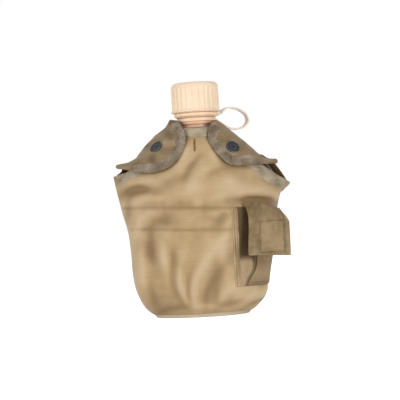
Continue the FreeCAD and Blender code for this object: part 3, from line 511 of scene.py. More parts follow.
def clothMaterial(name, colour, faded, yarn=760.0, patch=22.0, slub=0.3, bump=0.35,
                  sheen=0.08, bumpDistance=0.00012, gloss=0.6):
    material, surface = newMaterial(
        name, weaveGroup,
        {"Colour": colour + (1,), "Faded": faded + (1,), "Yarn Scale": yarn,
         "Patch Scale": patch, "Slub": slub, "Gloss": gloss},
        {"Sheen Weight": sheen, "Sheen Roughness": 0.5, "Specular IOR Level": 0.25},
        bump, bumpDistance)
    # Reads the crease attribute: painted shade and painted highlight from folds and shaded places,
    # and random tone.
    crease = material.node_tree.nodes.new("ShaderNodeAttribute")
    crease.attribute_name = "crease"
    link(material.node_tree, crease.outputs["Fac"], surface.inputs["Tone And Painted Shade"])
    return material


def hardMaterial(name, colour, worn, roughness, metallic=0.0, amount=0.35, scale=90.0,
                 specular=0.5, subsurface=0.0):
    values = {"Metallic": metallic, "Specular IOR Level": specular}
    if subsurface:
        values.update({"Subsurface Weight": subsurface, "Subsurface Scale": 0.004})
    return newMaterial(
        name, scuffGroup,
        {"Colour": colour + (1,), "Worn": worn + (1,), "Scale": scale, "Amount": amount,
         "Roughness": roughness}, values, 0.15, 0.0002)[0]


coverCloth = clothMaterial("coverCloth", (0.44, 0.302, 0.150), (0.60, 0.450, 0.270),
                           patch=15.0, slub=0.22, gloss=0.34)
baseCloth = clothMaterial("baseCloth", (0.58, 0.49, 0.34), (0.68, 0.60, 0.46))
flapCloth = clothMaterial("flapCloth", (0.285, 0.190, 0.095), (0.45, 0.335, 0.205),
                          patch=48.0, slub=0.6, gloss=0.5)
pocketCloth = clothMaterial("pocketCloth", (0.240, 0.163, 0.076), (0.365, 0.265, 0.142),
                            slub=0.25, gloss=0.38)
# Dark gusset cloth: painted shade for the shadowed inside of the pocket's side, lighter where its
# reading rises.
gussetShadeCloth = clothMaterial("gussetShadeCloth", (0.15, 0.102, 0.054), (0.46, 0.34, 0.20))
edgeTape = clothMaterial("edgeTape", (0.235, 0.178, 0.118), (0.44, 0.365, 0.275), yarn=520.0,
                         patch=75.0, slub=0.5, bump=0.7, bumpDistance=0.0003)
earTape = clothMaterial("earTape", (0.39, 0.315, 0.21), (0.53, 0.45, 0.33), yarn=520.0,
                        patch=60.0, slub=0.4, bump=0.7, bumpDistance=0.0003)
webbingCloth = clothMaterial("webbingCloth", (0.36, 0.27, 0.15), (0.43, 0.33, 0.20),
                             yarn=330.0, patch=40.0, bump=0.8, bumpDistance=0.0005)
pileCloth = clothMaterial("pileCloth", (0.33, 0.28, 0.20), (0.45, 0.39, 0.29), yarn=260.0,
                          patch=120.0, bump=1.0, bumpDistance=0.0012, sheen=0.5)
hookTape = clothMaterial("hookTape", (0.24, 0.18, 0.10), (0.32, 0.25, 0.15), yarn=420.0,
                         bump=1.0, bumpDistance=0.0006)
khakiThread = clothMaterial("khakiThread", (0.26, 0.185, 0.095), (0.38, 0.285, 0.16),
                            yarn=1500.0, patch=200.0)
rustThread = clothMaterial("rustThread", (0.20, 0.090, 0.035), (0.32, 0.17, 0.07),
                           yarn=1500.0, patch=300.0)
capPlastic = hardMaterial("capPlastic", (0.84, 0.65, 0.46), (0.90, 0.78, 0.62), 0.40,
                          amount=0.4, subsurface=0.08)
bottlePlastic = hardMaterial("bottlePlastic", (0.74, 0.44, 0.27), (0.80, 0.54, 0.37), 0.42,
                             subsurface=0.05)
ringPlastic = hardMaterial("ringPlastic", (0.89, 0.60, 0.41), (0.93, 0.71, 0.53), 0.40,
                           subsurface=0.08)
strapPlastic = hardMaterial("strapPlastic", (0.85, 0.745, 0.62), (0.88, 0.82, 0.73), 0.42,
                            subsurface=0.1)
linerRubber = hardMaterial("linerRubber", (0.05, 0.05, 0.048), (0.09, 0.09, 0.085), 0.6)
snapEnamel = hardMaterial("snapEnamel", (0.018, 0.024, 0.030), (0.10, 0.11, 0.12), 0.30,
                          metallic=0.2, amount=0.2, scale=260.0, specular=0.4)
# Lighter metal for the snap rings: partly painted highlight.
snapRim = hardMaterial("snapRim", (0.085, 0.10, 0.11), (0.22, 0.24, 0.25), 0.32, metallic=0.55,
                       amount=0.4, scale=300.0)
keeperSteel = hardMaterial("keeperSteel", (0.028, 0.028, 0.026), (0.22, 0.21, 0.19), 0.45,
                           metallic=0.5, amount=0.22, scale=150.0)
print("materials ready")


panelShape = {
    "bottom": 3.6,
    "lift": 1.3,
    "topEdge": [  # height of the front panel's top edge against x
        (-84, 131.0), (-62, 138.0), (-46, 149.5), (-30, 159.5), (-15, 169.5), (-11.5, 172.5),
        (0, 172.0), (11.5, 172.5), (15, 168.5), (30, 157.5), (46, 146.0), (60, 132.5),
        (84, 117.5),
    ],
    "seamLeft": [  # how far the side seam stands outside the form, by height
        (84, 0.0), (95, 1.2), (107, 3.0), (118, 6.2), (128, 11.5), (132, 14.5), (140, 17.0),
    ],
    "seamRight": [
        (84, 0.0), (95, 0.8), (105, 2.2), (109.5, 3.4), (113, 5.6), (115.5, 9.6), (117.5, 12.4),
        (120, 13.4), (125, 14.0), (136, 11.0),
    ],
    "backLeft": [  # half width of the back panel above its ears
        (131.0, 80.0), (133.6, 77.0), (137.0, 72.0), (139.0, 71.6), (141.0, 71.8),
        (143.2, 65.6), (145.6, 60.2), (148.6, 54.8), (157.0, 48.2), (166.8, 37.4),
        (173.0, 26.6), (174.0, 22.0),
    ],
    "backRight": [
        (117.5, 81.4), (120.0, 80.6), (124.1, 78.4), (128.0, 76.0), (131.8, 73.6), (136.0, 70.6),
        (138.6, 70.6), (141.6, 63.6), (145.0, 56.8), (153.0, 47.0), (162.0, 37.2),
        (168.2, 29.8), (173.5, 23.6), (176.0, 21.4),
    ],
    "folds": [  # x, z, tilt in degrees from level, half length, half width, height
        (-57, 119, 2, 16, 4.2, -2.5), (-50, 110.5, 4, 22, 4.6, 1.3), (-60, 127, 14, 14, 4.0, 1.2),
        (-6, 139, 50, 14, 3.4, -2.0), (2, 131, 36, 16, 5.0, 1.3), (14, 146, 110, 12, 4.4, 1.1),
        (-16, 147, 62, 12, 4.2, 1.0), (16, 134, 24, 18, 4.6, -1.0),
        (-38, 89, 8, 13, 4.4, -1.5), (17, 88, 30, 10, 3.8, -1.5), (-12, 90, 80, 8, 6.0, 1.0),
        (30, 104, -12, 16, 4.6, -1.2), (50, 104.5, -10, 17, 3.0, -2.4),
        (58, 111, -14, 16, 4.6, 1.5),
        (-48, 66, 96, 21, 6.4, -2.4), (-36, 50, 99, 26, 5.6, 1.9), (-57, 44, 97, 24, 5.6, 1.3),
        (-50, 24, 108, 17, 4.4, -1.7), (-30, 36, 97, 24, 3.6, -2.0), (-23, 32, 96, 22, 3.0, 1.8),
        (-16.5, 26, 88, 16, 2.2, -1.3), (-10.5, 28, 80, 20, 3.4, 2.2), (1, 24, 70, 16, 3.2, -1.5),
        (-30, 60, 112, 17, 4.6, -1.2), (4, 54, 60, 23, 5.6, 1.3),
        (12, 38, 66, 22, 4.8, -1.3), (17, 62, 84, 27, 4.6, 1.2), (22, 24, 30, 16, 4.2, 1.3),
        (38, 9, 24, 18, 3.0, -2.2), (45, 17, 30, 18, 4.0, 1.8), (52, 30, 60, 12, 4.0, -1.1),
        (-60, 84, 70, 15, 3.4, 1.0), (-67, 102, 76, 18, 4.0, -1.3), (62, 88, 84, 16, 3.8, 1.0),
        (-34, 9, 10, 17, 2.8, -1.5), (0, 10, -4, 15, 2.8, 1.1), (-2, 118, 5, 30, 7.0, 1.0),
        (28, 122, -20, 22, 5.4, 1.0), (-26, 125, 22, 20, 4.6, -1.1), (66, 119, -24, 13, 3.4, -1.4),
        (-28, 106, -4, 24, 4.0, -0.9), (8, 107, 6, 20, 4.4, 0.8), (24, 12, 8, 15, 3.0, -1.3),
    ],
    # Painted shade: dark spots in the dents and where the pocket flap shades the cover.
    "shades": [  # x, z, half length, half width, how dark
        (51, 103.4, 15, 3.2, 1.5), (66, 99.0, 6, 4.0, 0.9), (-57, 119.5, 11, 4.0, 0.5),
        (-50, 62, 6, 16, 0.4), (33, 96.5, 4, 2.0, 0.8),
    ],
    "underFlaps": [  # lower edge of the flaps against the distance from the middle
        (9, 170.0), (10.5, 163.0), (14, 152.5), (20, 143.5), (30, 136.5), (42, 134.5),
        (56, 136.0), (68, 139.0), (84, 141.0),
    ],
    "rows": {  # the two quilting rows: height on the axis and slope
        "upper": (99.4, -0.058, -72.0, 35.0),
        "lower": (79.6, -0.058, -64.0, 33.0),
    },
    "rowDepth": 0.95,
    "rowWidth": 1.7,
    "foldBend": 0.010,
    "foldShare": 1.3,
    "ripples": [  # height, scale along x and z, seed
        (1.2, 0.030, 0.026, 1.7), (0.75, 0.075, 0.055, 7.9), (0.3, 0.17, 0.13, 5.1),
    ],
    "deepest": 2.7,
}


def rowHeight(row, x):
    middle, slope = panelShape["rows"][row][:2]
    return middle + slope * x


# How far the cloth stands off its form at x and z of the front.
def foldHeight(x, z):
    total = 0.0
    for foldX, foldZ, tilt, length, width, height in panelShape["folds"]:
        angle = math.radians(tilt)
        along = (x - foldX) * math.cos(angle) + (z - foldZ) * math.sin(angle)
        across = -(x - foldX) * math.sin(angle) + (z - foldZ) * math.cos(angle)
        across += panelShape["foldBend"] * along * along
        reach = (along / length) ** 2 + (across / width) ** 2
        if reach < 7:  # beyond this a fold has died away
            total += height * math.exp(-reach)
    for row in ("upper", "lower"):
        first, last = panelShape["rows"][row][2:]
        inside = smoothStep(first - 3, first + 2, x) * (1 - smoothStep(last - 2, last + 3, x))
        away = (z - rowHeight(row, x)) / panelShape["rowWidth"]
        pucker = 1 + 0.5 * noiseAt(x * 0.24, z * 0.02, 3.0)
        total -= inside * panelShape["rowDepth"] * pucker * math.exp(-away * away)
        side = bell(abs(away) - 3.0, 2.0)
        total += inside * 0.8 * side * noiseAt(x * 0.16, z * 0.05, 9.0)
    total *= panelShape["foldShare"]
    for height, scaleX, scaleZ, seed in panelShape["ripples"]:
        total += height * noiseAt(x * scaleX, z * scaleZ, seed)
    low = alongKeys(panelShape["underFlaps"], abs(x))[0]
    total *= 1 - 0.85 * smoothStep(low - 3, low + 3, z)
    if total < 0:
        total = -panelShape["deepest"] * math.tanh(-total / panelShape["deepest"])
    return total


# How far the seam stands outside the form, on the left where turn is negative.
def seamReach(height, turn):
    keys = panelShape["seamLeft" if turn < 0 else "seamRight"]
    return max(0.0, alongKeys(keys, height)[0])


# A point of the dressed front: the form, its side seams and its folds.
def frontPoint(turn, height, lift):
    point, out = formPoint(height, turn, lift, seamReach(height, turn))
    edge = 1 - smoothStep(1.45, 1.95, abs(turn))
    bottom = smoothStep(1.0, 12.0, height)
    return point + out * foldHeight(point.x, height) * edge * bottom


def topOfPanel(turn):
    height = 140.0
    for attempt in range(10):
        x = sectionPoint(height, turn, panelShape["lift"], seamReach(height, turn))[0].x
        height = 0.5 * height + 0.5 * alongKeys(panelShape["topEdge"], x)[0]
    return height


# Columns from -reach to reach, closer at the sides where the form turns.
def spread(a, reach=2.0):
    value = 2 * a - 1
    return reach * value * (1.18 - 0.18 * abs(value))


panelTops = {}


def topFor(a):
    key = round(a, 5)
    if key not in panelTops:
        panelTops[key] = topOfPanel(spread(a))
    return panelTops[key]


# Painted shade in the folds, in the listed dents, under the pocket flap, along the flaps' lower
# edges and over the top between the flaps, and painted highlight on the fold crests.
def frontShade(co):
    total = 0.42 * foldHeight(co.x, co.z)
    for x, z, length, width, depth in panelShape["shades"]:
        total -= depth * math.exp(-((co.x - x) / length) ** 4 - ((co.z - z) / width) ** 2)
    # Painted shadow in a narrow band along the flaps' lower edges.
    spot, edge = Vector((abs(co.x), co.z)), panelShape["underFlaps"]
    away = math.inf
    for start, end in zip(edge, edge[1:]):
        start, step = Vector(start), Vector(end) - Vector(start)
        part = max(0.0, min(1.0, (spot - start).dot(step) / step.length_squared))
        away = min(away, (spot - start - step * part).length)
    # Painted shade over the top of the front, between the flaps.
    total -= 0.45 * smoothStep(150, 168, co.z)
    return total - 0.85 * bell(away, 2.8)


# Dark inside the two ears, where the flaps shade them.
def backShade(co):
    return -1.3 * smoothStep(54, 62, abs(co.x)) * smoothStep(108, 118, co.z)


def makeFront():
    low = panelShape["bottom"]

    def place(a, b):
        height = low + (topFor(a) - low) * b
        return frontPoint(spread(a), height, panelShape["lift"] * 0.35)

    front = shapedGrid("coverFront", 108, 108, place)
    marked(front, frontShade)
    thicken(front, (0, -1, 0), panelShape["lift"] * 0.65)
    dress(front, coverCloth, "canteen", ["cover_front"])


liningForm = {"inside": -0.25, "top": 168.0, "thickness": 1.1, "cells": 90}


def makeLining(name, facing, place):
    lining = shapedGrid(name + "Lining", liningForm["cells"], liningForm["cells"], place)
    thicken(lining, (0, facing, 0), liningForm["thickness"], rounding=0, offset=-1.0)
    dress(lining, pileCloth, "canteen", [name + "_lining"])


def makeFrontLining():
    low = panelShape["bottom"] + 2.0

    def place(a, b):
        turn = spread(0.02 + 0.96 * a)
        top = min(liningForm["top"], topFor(0.02 + 0.96 * a) - 4.0)
        height = low + (top - low) * b
        reach = 0.8 * seamReach(height, turn)
        point, out = formPoint(height, turn, liningForm["inside"], reach)
        fold = min(0.0, foldHeight(point.x, height)) * smoothStep(1.0, 12.0, height)
        tuft = 0.25 * noiseAt(point.x * 0.6, height * 0.6, 2.0)
        return point + out * (0.95 * fold - 0.1 + tuft)

    makeLining("front", -1, place)


backForm = {"low": 1.0, "top": 174.0, "inside": 0.45, "cloth": 0.85}


# Half width of the back panel where its edge stands outside the form.
def backWidth(height, turn):
    keys = panelShape["backLeft" if turn < 0 else "backRight"]
    if height < keys[0][0]:
        return formAt(height, backForm["inside"])[0] + seamReach(height, turn)
    return straightKeys(keys, height)[0]


def backPlace(a, height, offset, share=1.0):
    turn = 2 + 4 * a
    if turn > 4:
        turn -= 8
    reach = max(0.0, backWidth(height, turn) - formAt(height, offset)[0]) * share
    return turn, formPoint(height, turn, offset, reach)


def makeBack():
    low, top = backForm["low"], backForm["top"]

    def place(a, b):
        height = low + (top - low) * b
        turn, (point, out) = backPlace(a, height, backForm["inside"])
        x = point.x
        calm = smoothStep(2.0, 2.5, abs(turn)) * smoothStep(1.0, 14.0, height)
        broad = noiseAt(x * 0.04, height * 0.03, 21.0)
        small = noiseAt(x * 0.12, height * 0.05, 33.0)
        fold = 1.3 * broad + 0.6 * small
        flat = smoothStep(50, 60, abs(x)) + smoothStep(14, 26, abs(height - 114))
        point = point + out * fold * calm * min(1.0, flat)
        if abs(turn) < 2.3:
            point.y = max(point.y, 0.25)
        return point

    back = shapedGrid("coverBack", 96, 120, place)
    thicken(back, (0, 1, 0), backForm["cloth"])
    marked(back, backShade, Vector((0, -1, 0)))
    dress(back, coverCloth, "canteen", ["cover_back"])


def makeBackLining():
    low = 4.2

    def place(a, b):
        height = low + (liningForm["top"] - low) * b
        point, out = backPlace(0.01 + 0.98 * a, height, liningForm["inside"], 0.5)[1]
        tuft = 0.25 * noiseAt(point.x * 0.6, height * 0.6, 12.0)
        return point + out * (tuft - 1.1)

    makeLining("back", 1, place)


baseForm = {"level": 1.3, "rest": 0.15, "strip": 3.9, "flat": 0.84}


# The base with its rolled lower edge, a pale strip under the seam.
def makeBase():
    def place(a, b):
        angle = 8 * a - 4
        reach = 1 - (1 - b) ** 1.6
        point = sectionPoint(baseForm["level"], angle, 1.15)[0]
        if reach < baseForm["flat"]:
            part = reach / baseForm["flat"]
            return Vector((point.x * part, point.y * part, baseForm["rest"]))
        roll = (reach - baseForm["flat"]) / 0.16
        wobble = 0.9 * noiseAt(point.x * 0.05, point.y * 0.05, 4.0)
        grown = 1 + 0.022 * math.sin(roll * math.pi / 2)
        rise = baseForm["rest"] + (baseForm["strip"] + wobble) * roll ** 1.4
        return Vector((point.x * grown, point.y * grown, rise))

    base = shapedGrid("coverBase", 128, 20, place)
    outwards(base)
    thicken(base, (0, 0, -1), 0.5, rounding=0, offset=-1.0)
    dress(base, baseCloth, "canteen")


makeFront()
makeBack()
makeFrontLining()
makeBackLining()
makeBase()
print("cover panels ready")


# Point of the dressed front at x and z, and the direction that it faces.
def frontAt(x, z, over):
    reach = seamReach(z, x)
    turn = turnAt(x, z, over, reach)
    return frontPoint(turn, z, over), formPoint(z, turn, over, reach)[1]


# A tape folded over an edge of (x, z) spots. The profile goes round it from the back:
# share of the width inwards and height over the form.
def edgeStrip(name, edge, surface, profile, width, seed, inside):
    count = len(edge)
    rows = len(profile) - 1
    inwards = []
    for index in range(count):
        ahead = edge[min(index + 2, count - 1)] - edge[max(index - 2, 0)]
        normal = Vector((-ahead.z, 0, ahead.x)).normalized()
        if normal.dot(inside - edge[index]) < 0:
            normal = -normal
        inwards.append(normal)

    def place(a, b):
        spot = lineAt(edge, a)
        inward = lineAt(inwards, a).normalized()
        row = min(int(b * rows), rows - 1)
        share, over = [first + (last - first) * (b * rows - row)
                       for first, last in zip(profile[row], profile[row + 1])]
        front = smoothStep(0.25, 0.6, b)
        broad = noiseAt(spot.x * 0.16, spot.z * 0.16, seed)
        fine = noiseAt(spot.x * 0.34, spot.z * 0.34, seed + 5.0 + b)
        inset = share * width * (1 + 0.12 * broad * front) + 0.5 * fine * (1 - b)
        flat = spot + inward * inset
        point, out = surface(flat.x, flat.z, over)
        return point + out * front * (0.5 * broad + 0.4 * fine)

    strip = shapedGrid(name, (count - 1) * 2, rows * 3, place)
    marked(strip, lambda co: 0.5 * noiseAt(co.x * 0.5, co.z * 0.5, seed)
           + 1.3 * noiseAt(co.x * 0.12, co.z * 0.12, seed))
    thicken(strip, (0, -1, 0), 0.45, offset=-1.0)
    return strip


panelTapeProfile = [(0.28, 0.2), (0.02, 0.1), (-0.05, 0.9), (0.0, 1.75), (0.18, 2.25),
                    (0.5, 2.35), (0.85, 2.1), (1.0, 1.35)]
tapeForm = {"width": 8.6, "collarHalf": 12.6, "collarWidth": 9.0, "rightWidth": 9.8}


def makeTapes():
    low = Vector((0, 0, 60.0))
    collar = []
    for i in range(25):
        x = tapeForm["collarHalf"] * (2 * i / 24 - 1)
        collar.append(Vector((x, 0, alongKeys(panelShape["topEdge"], x)[0] + 0.2)))
    tape = edgeStrip("collarTape", collar, frontAt, panelTapeProfile,
                     tapeForm["collarWidth"], 3.0, low)
    dress(tape, earTape, "canteen", ["collar_binding"])
    for name, side, width in (("leftEarTape", -1, tapeForm["width"]),
                              ("rightEarTape", 1, tapeForm["rightWidth"])):
        edge = []
        for i in range(45):
            turn = side * (1.99 - 1.0 * i / 44)
            height = topOfPanel(turn)
            point = sectionPoint(height, turn, 1.3, seamReach(height, side))[0]
            edge.append(Vector((point.x, 0, height + 0.2)))
        strip = edgeStrip(name, edge, frontAt, panelTapeProfile, width, 7.0 * side, low)
        dress(strip, earTape, "canteen")


# A line on the dressed front through (x, z) keys, with the directions it faces.
def frontLine(keys, over, count=60):
    flat = flatLine(keys, count)
    points, outs = [], []
    for spot in flat:
        point, out = frontAt(spot.x, spot.z, over)
        points.append(point)
        outs.append(out)
    return points, outs


finePiece = {"length": 1.9, "pitch": 2.7, "radius": 0.24}


def makeRows():
    for row in ("upper", "lower"):
        first, last = panelShape["rows"][row][2:]
        keys = [(x, rowHeight(row, x)) for x in (first, 0.5 * (first + last), last)]
        points, outs = frontLine(keys, 1.36, 90)
        piece = stitches(row + "Row", points, outs, finePiece)
        dress(piece, khakiThread, "canteen")


def makeBartack():
    size = {"x": -3.0, "low": 150.5, "high": 162.5, "width": 1.1, "turns": 15}
    keys = [(size["x"] + 0.3, size["high"]), (size["x"] - 0.3, size["low"])]
    spine, outs = frontLine(keys, 1.5, size["turns"] * 2)
    points = []
    for number, (point, out) in enumerate(zip(spine, outs)):
        sway = size["width"] / 2 * (1 if number % 2 else -1)
        points.append(point + Vector((sway, 0, 0)) + out * 0.1)
    grain = {"length": 1.7, "pitch": 1.15, "radius": 0.28}
    piece = stitches("bartack", points, outs, grain)
    dress(piece, rustThread, "canteen")


makeTapes()
makeRows()
makeBartack()
print("tapes and stitches ready")


flapShapes = {
    "left": {
        "ridge": [(-23.6, 182.0), (-29.4, 173.8), (-39.4, 167.0), (-49.2, 157.2), (-57, 147.6),
                  (-65, 143.4), (-76.5, 141.6)],
        "edge": [(-17.0, 180.2), (-13.4, 173.0), (-11.2, 164.5), (-13.2, 154.0), (-19.6, 143.8),
                 (-29, 137.2), (-40, 134.4), (-53, 135.0), (-65, 138.4), (-77.5, 140.8)],
        "snap": (-38.0, 157.0),
    },
    "right": {
        "ridge": [(17.4, 178.4), (23.4, 173.4), (29.4, 168.0), (36.6, 161.8), (46.2, 152.8),
                  (55.6, 143.0), (64, 139.4), (72.0, 138.4)],
        "edge": [(13.6, 176.4), (10.6, 169.4), (10.2, 161.5), (13.0, 154.2), (18.4, 146.2),
                 (26, 139.0), (34, 136.2), (46, 136.6), (58, 136.8), (72.5, 136.6)],
        "snap": (31.5, 152.8),
    },
}
flapForm = {"over": 1.9, "thickness": 2.2, "tapeWidth": 8.8, "ridgeStand": 0.9,
            "snapSpread": 90.0, "ridgeRound": 9.0, "middle": (34, 156.0)}
flapTapeProfile = [(0.30, 1.7), (0.03, 1.6), (-0.07, 2.5), (-0.06, 3.7), (0.06, 4.7),
                   (0.25, 5.2), (0.6, 5.15), (0.88, 4.75), (1.0, 3.9)]


# How far the sewn ridge stands outside the form at a height.
def ridgeReach(shape, z, over):
    rows = sorted((height, abs(x)) for x, height in shape["ridge"])
    x = straightKeys(rows, min(z, rows[-1][0] - 0.01))[0]
    return max(0.0, x - formAt(z, over)[0])


def flapSurface(name, side):
    shape = flapShapes[name]
    snapX, snapZ = shape["snap"]
    rows = sorted((height, abs(x)) for x, height in shape["ridge"])

    def surface(x, z, over):
        reach = ridgeReach(shape, z, over)
        turn = turnAt(x, z, over, reach)
        point, out = formPoint(z, turn, over, reach)
        near = math.exp(-((x - snapX) ** 2 + (z - snapZ) ** 2) / flapForm["snapSpread"])
        broad = noiseAt(x * 0.055, z * 0.055, 40.0 + side)
        fine = noiseAt(x * 0.15, z * 0.15, 50.0 + side)
        wave = (broad + 0.45 * fine + 0.35) * (1 - near) - 0.1 * near
        point = point + out * wave
        inside = max(0.0, straightKeys(rows, min(z, rows[-1][0] - 0.01))[0] - side * x)
        turned = max(0.0, 1 - inside / flapForm["ridgeRound"])
        point.y *= math.sqrt(max(0.0, 1 - turned ** 2))
        point.y -= flapForm["ridgeStand"]
        return point, out

    return surface


def makeFlap(name, side):
    shape = flapShapes[name]
    ridge = flatLine(shape["ridge"], 80)
    edge = flatLine(shape["edge"], 80)
    surface = flapSurface(name, side)

    def place(a, b):
        spot = lineAt(ridge, a).lerp(lineAt(edge, a), b)
        return surface(spot.x, spot.z, flapForm["over"])[0]

    pad = shapedGrid(name + "Flap", 80, 50, place)
    marked(pad, lambda co: 1.2 * noiseAt(co.x * 0.11, co.z * 0.11, 60.0) - 0.1)
    thicken(pad, (side * 0.4, -1, 0.3), flapForm["thickness"])
    dress(pad, flapCloth, name + "_flap", [name + "_flap"])

    rim = ridge[11:0:-1] + [ridge[0].lerp(edge[0], i / 5) for i in range(5)] + edge
    away, height = flapForm["middle"]
    middle = Vector((side * away, 0, height))
    tape = edgeStrip(name + "FlapTape", rim, surface, flapTapeProfile, flapForm["tapeWidth"],
                     20.0 + side, middle)
    dress(tape, edgeTape, name + "_flap", [name + "_flap_binding"])


for flapName, flapSide in (("left", -1), ("right", 1)):
    makeFlap(flapName, flapSide)
print("flaps ready")


pocketFrame = {"x": 51.5, "y": -19.6, "turn": 32.0}
pocketAngle = math.radians(pocketFrame["turn"])
alongPocket = Vector((math.cos(pocketAngle), math.sin(pocketAngle), 0))
outOfPocket = Vector((math.sin(pocketAngle), -math.cos(pocketAngle), 0))


def pocketPlace(along, out, height):
    start = Vector((pocketFrame["x"], pocketFrame["y"], height))
    return start + alongPocket * along + outOfPocket * out


pocketShape = {
    "bottom": 26.4,
    "tops": {"sewnStrip": 98.0, "gusset": 98.0, "front": 89.0, "side": 89.0},
    "corner": [  # left corner of the front: height, along, out
        (26.4, -18.6, 2.3), (28.5, -18.6, 3.4), (33, -17.2, 6.0), (41, -13.6, 9.6),
        (49, -12.6, 12.0), (58, -13.4, 12.9), (72, -12.3, 13.7), (90, -12.0, 14.0),
    ],
    "far": [
        (26.4, 4.6, -0.6), (29, 4.7, 1.6), (40, 3.9, 7.4), (55, 5.4, 11.0),
        (72, 9.5, 12.6), (90, 11.5, 13.4),
    ],
    "fold": [(24.6, 35.0), (40, 38.5), (56, 43.5), (72, 45.5), (90, 43.5)],
    "sewn": (26.6, 32.0),
    "footRows": (27.6, 29.8),  # heights of the stitches at the foot
    "stripRows": (28.4, 30.6),  # x of the stitches down the sewn strip
}


def halved(*spots):
    line = [spots[0]]
    for first, last in zip(spots, spots[1:]):
        line += [first.lerp(last, 0.5), last]
    return line


# Plan of the pocket at a height: sewn strip, gusset, front and right side.
def pocketRoute(height):
    shape = pocketShape
    first, last = shape["sewn"]
    corner = alongKeys(shape["corner"], height)
    far = alongKeys(shape["far"], height)
    left = frontAt(first, height, 1.35)[0]
    strip = frontAt(last, height, 1.7)[0]
    fold = frontAt(alongKeys(shape["fold"], height)[0], height, 1.8)[0]
    front = pocketPlace(corner[0], corner[1], height)
    belly = max(corner[1], far[1]) + 0.35 * smoothStep(27, 50, height)
    middle = pocketPlace((corner[0] + far[0]) / 2, belly, height)
    right = pocketPlace(far[0], far[1], height)
    hull = frontAt(formAt(height, 1.6)[0] * 0.985, height, 1.6)[0]
    return {
        "sewnStrip": halved(left, strip), "gusset": halved(strip, fold, front),
        "front": halved(front, middle, right), "side": halved(right, hull),
    }


# Painted shade inside the gusset above and along the front's edge, and lighter below.
def gussetShade(co):
    corner = alongKeys(pocketShape["corner"], co.z)
    away = pocketPlace(corner[0], corner[1], co.z).x - co.x
    return 1.1 - 2.3 * smoothStep(46, 57, co.z) - 1.9 * (1 - smoothStep(0.5, 5.0, away))


# Dark along the two rows of stitches at the pocket's foot, light between them.
def frontEdgeShade(co):
    low = sum(bell(co.z - height, 0.5) for height in pocketShape["footRows"])
    return 0.35 * (1 - smoothStep(40, 52, co.z)) - 1.2 * low


def stripShade(co):
    return -0.9 * sum(bell(co.x - x, 0.45) for x in pocketShape["stripRows"])


def makePocketPart(part, columns, material, thickness, shade=lambda co: 0.0):
    shape = pocketShape
    rows = {}

    def place(a, b):
        height = shape["bottom"] + (shape["tops"][part] - shape["bottom"]) * b
        key = round(b, 5)
        if key not in rows:
            rows[key] = pocketRoute(height)[part]
        point = lineAt(rows[key], a)
        free = math.sin(math.pi * a) * smoothStep(0.0, 0.2, b)
        ripple = noiseAt(a * 2.4, b * 4.5, 8.0 + columns)
        calm = 0.9 - 0.6 * smoothStep(48, 60, height)
        return point + outOfPocket * calm * ripple * free

    name = "pocket" + part[0].upper() + part[1:]
    piece = shapedGrid(name, columns, 60, place)
    marked(piece, lambda co: shade(co) + noiseAt(co.x * 0.07, co.z * 0.06, 3.0))
    thicken(piece, (-1, -1, 0) if part == "gusset" else outOfPocket, thickness)
    dress(piece, material, "canteen")


def makePocketBody():
    makePocketPart("sewnStrip", 14, coverCloth, 0.7, stripShade)
    # The gusset in dark cloth, as painted shade.
    makePocketPart("gusset", 30, gussetShadeCloth, 0.9, gussetShade)
    makePocketPart("front", 40, pocketCloth, 1.3, frontEdgeShade)
    makePocketPart("side", 16, pocketCloth, 1.1)
    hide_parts("pocket_body")
    lines = []
    for x in pocketShape["stripRows"]:
        points, outs = frontLine([(x, 96.0), (x, 60.0), (x, 28.5)], 2.3, 70)
        lines.append(stitches("row", points, outs, finePiece))
    for height in pocketShape["footRows"]:
        points, outs = [], []
        for i in range(50):
            place = i / 49
            route = pocketRoute(height)["front"]
            points.append(lineAt(route, place) + outOfPocket * 1.45)
            outs.append(outOfPocket)
        lines.append(stitches("row", points, outs, finePiece))
    rows = joined("pocketRows", lines)
    dress(rows, khakiThread, "canteen")


pocketFlapShape = {
    "half": 22.4,
    "profile": [  # down the flap: out from the reference, height
        (11.4, 100.6), (13.6, 97.8), (15.8, 93.2), (17.0, 87.0), (17.4, 76.0), (17.3, 64.0),
        (17.5, 53.4),
    ],
    "thickness": 2.0,
    "patch": (-12.6, 13.0, 56.0, 83.5),  # left, right, low, high
    "turnedEdge": (12.0, 22.4, 3.4),  # starts, ends, how far it bends back
    "leftEdge": (-17.0, -22.4, 1.2),
    "creaseLine": 14.6,
}
pocketProfile = curvePoints(
    [Vector((0, out, z)) for out, z in pocketFlapShape["profile"]], 60)


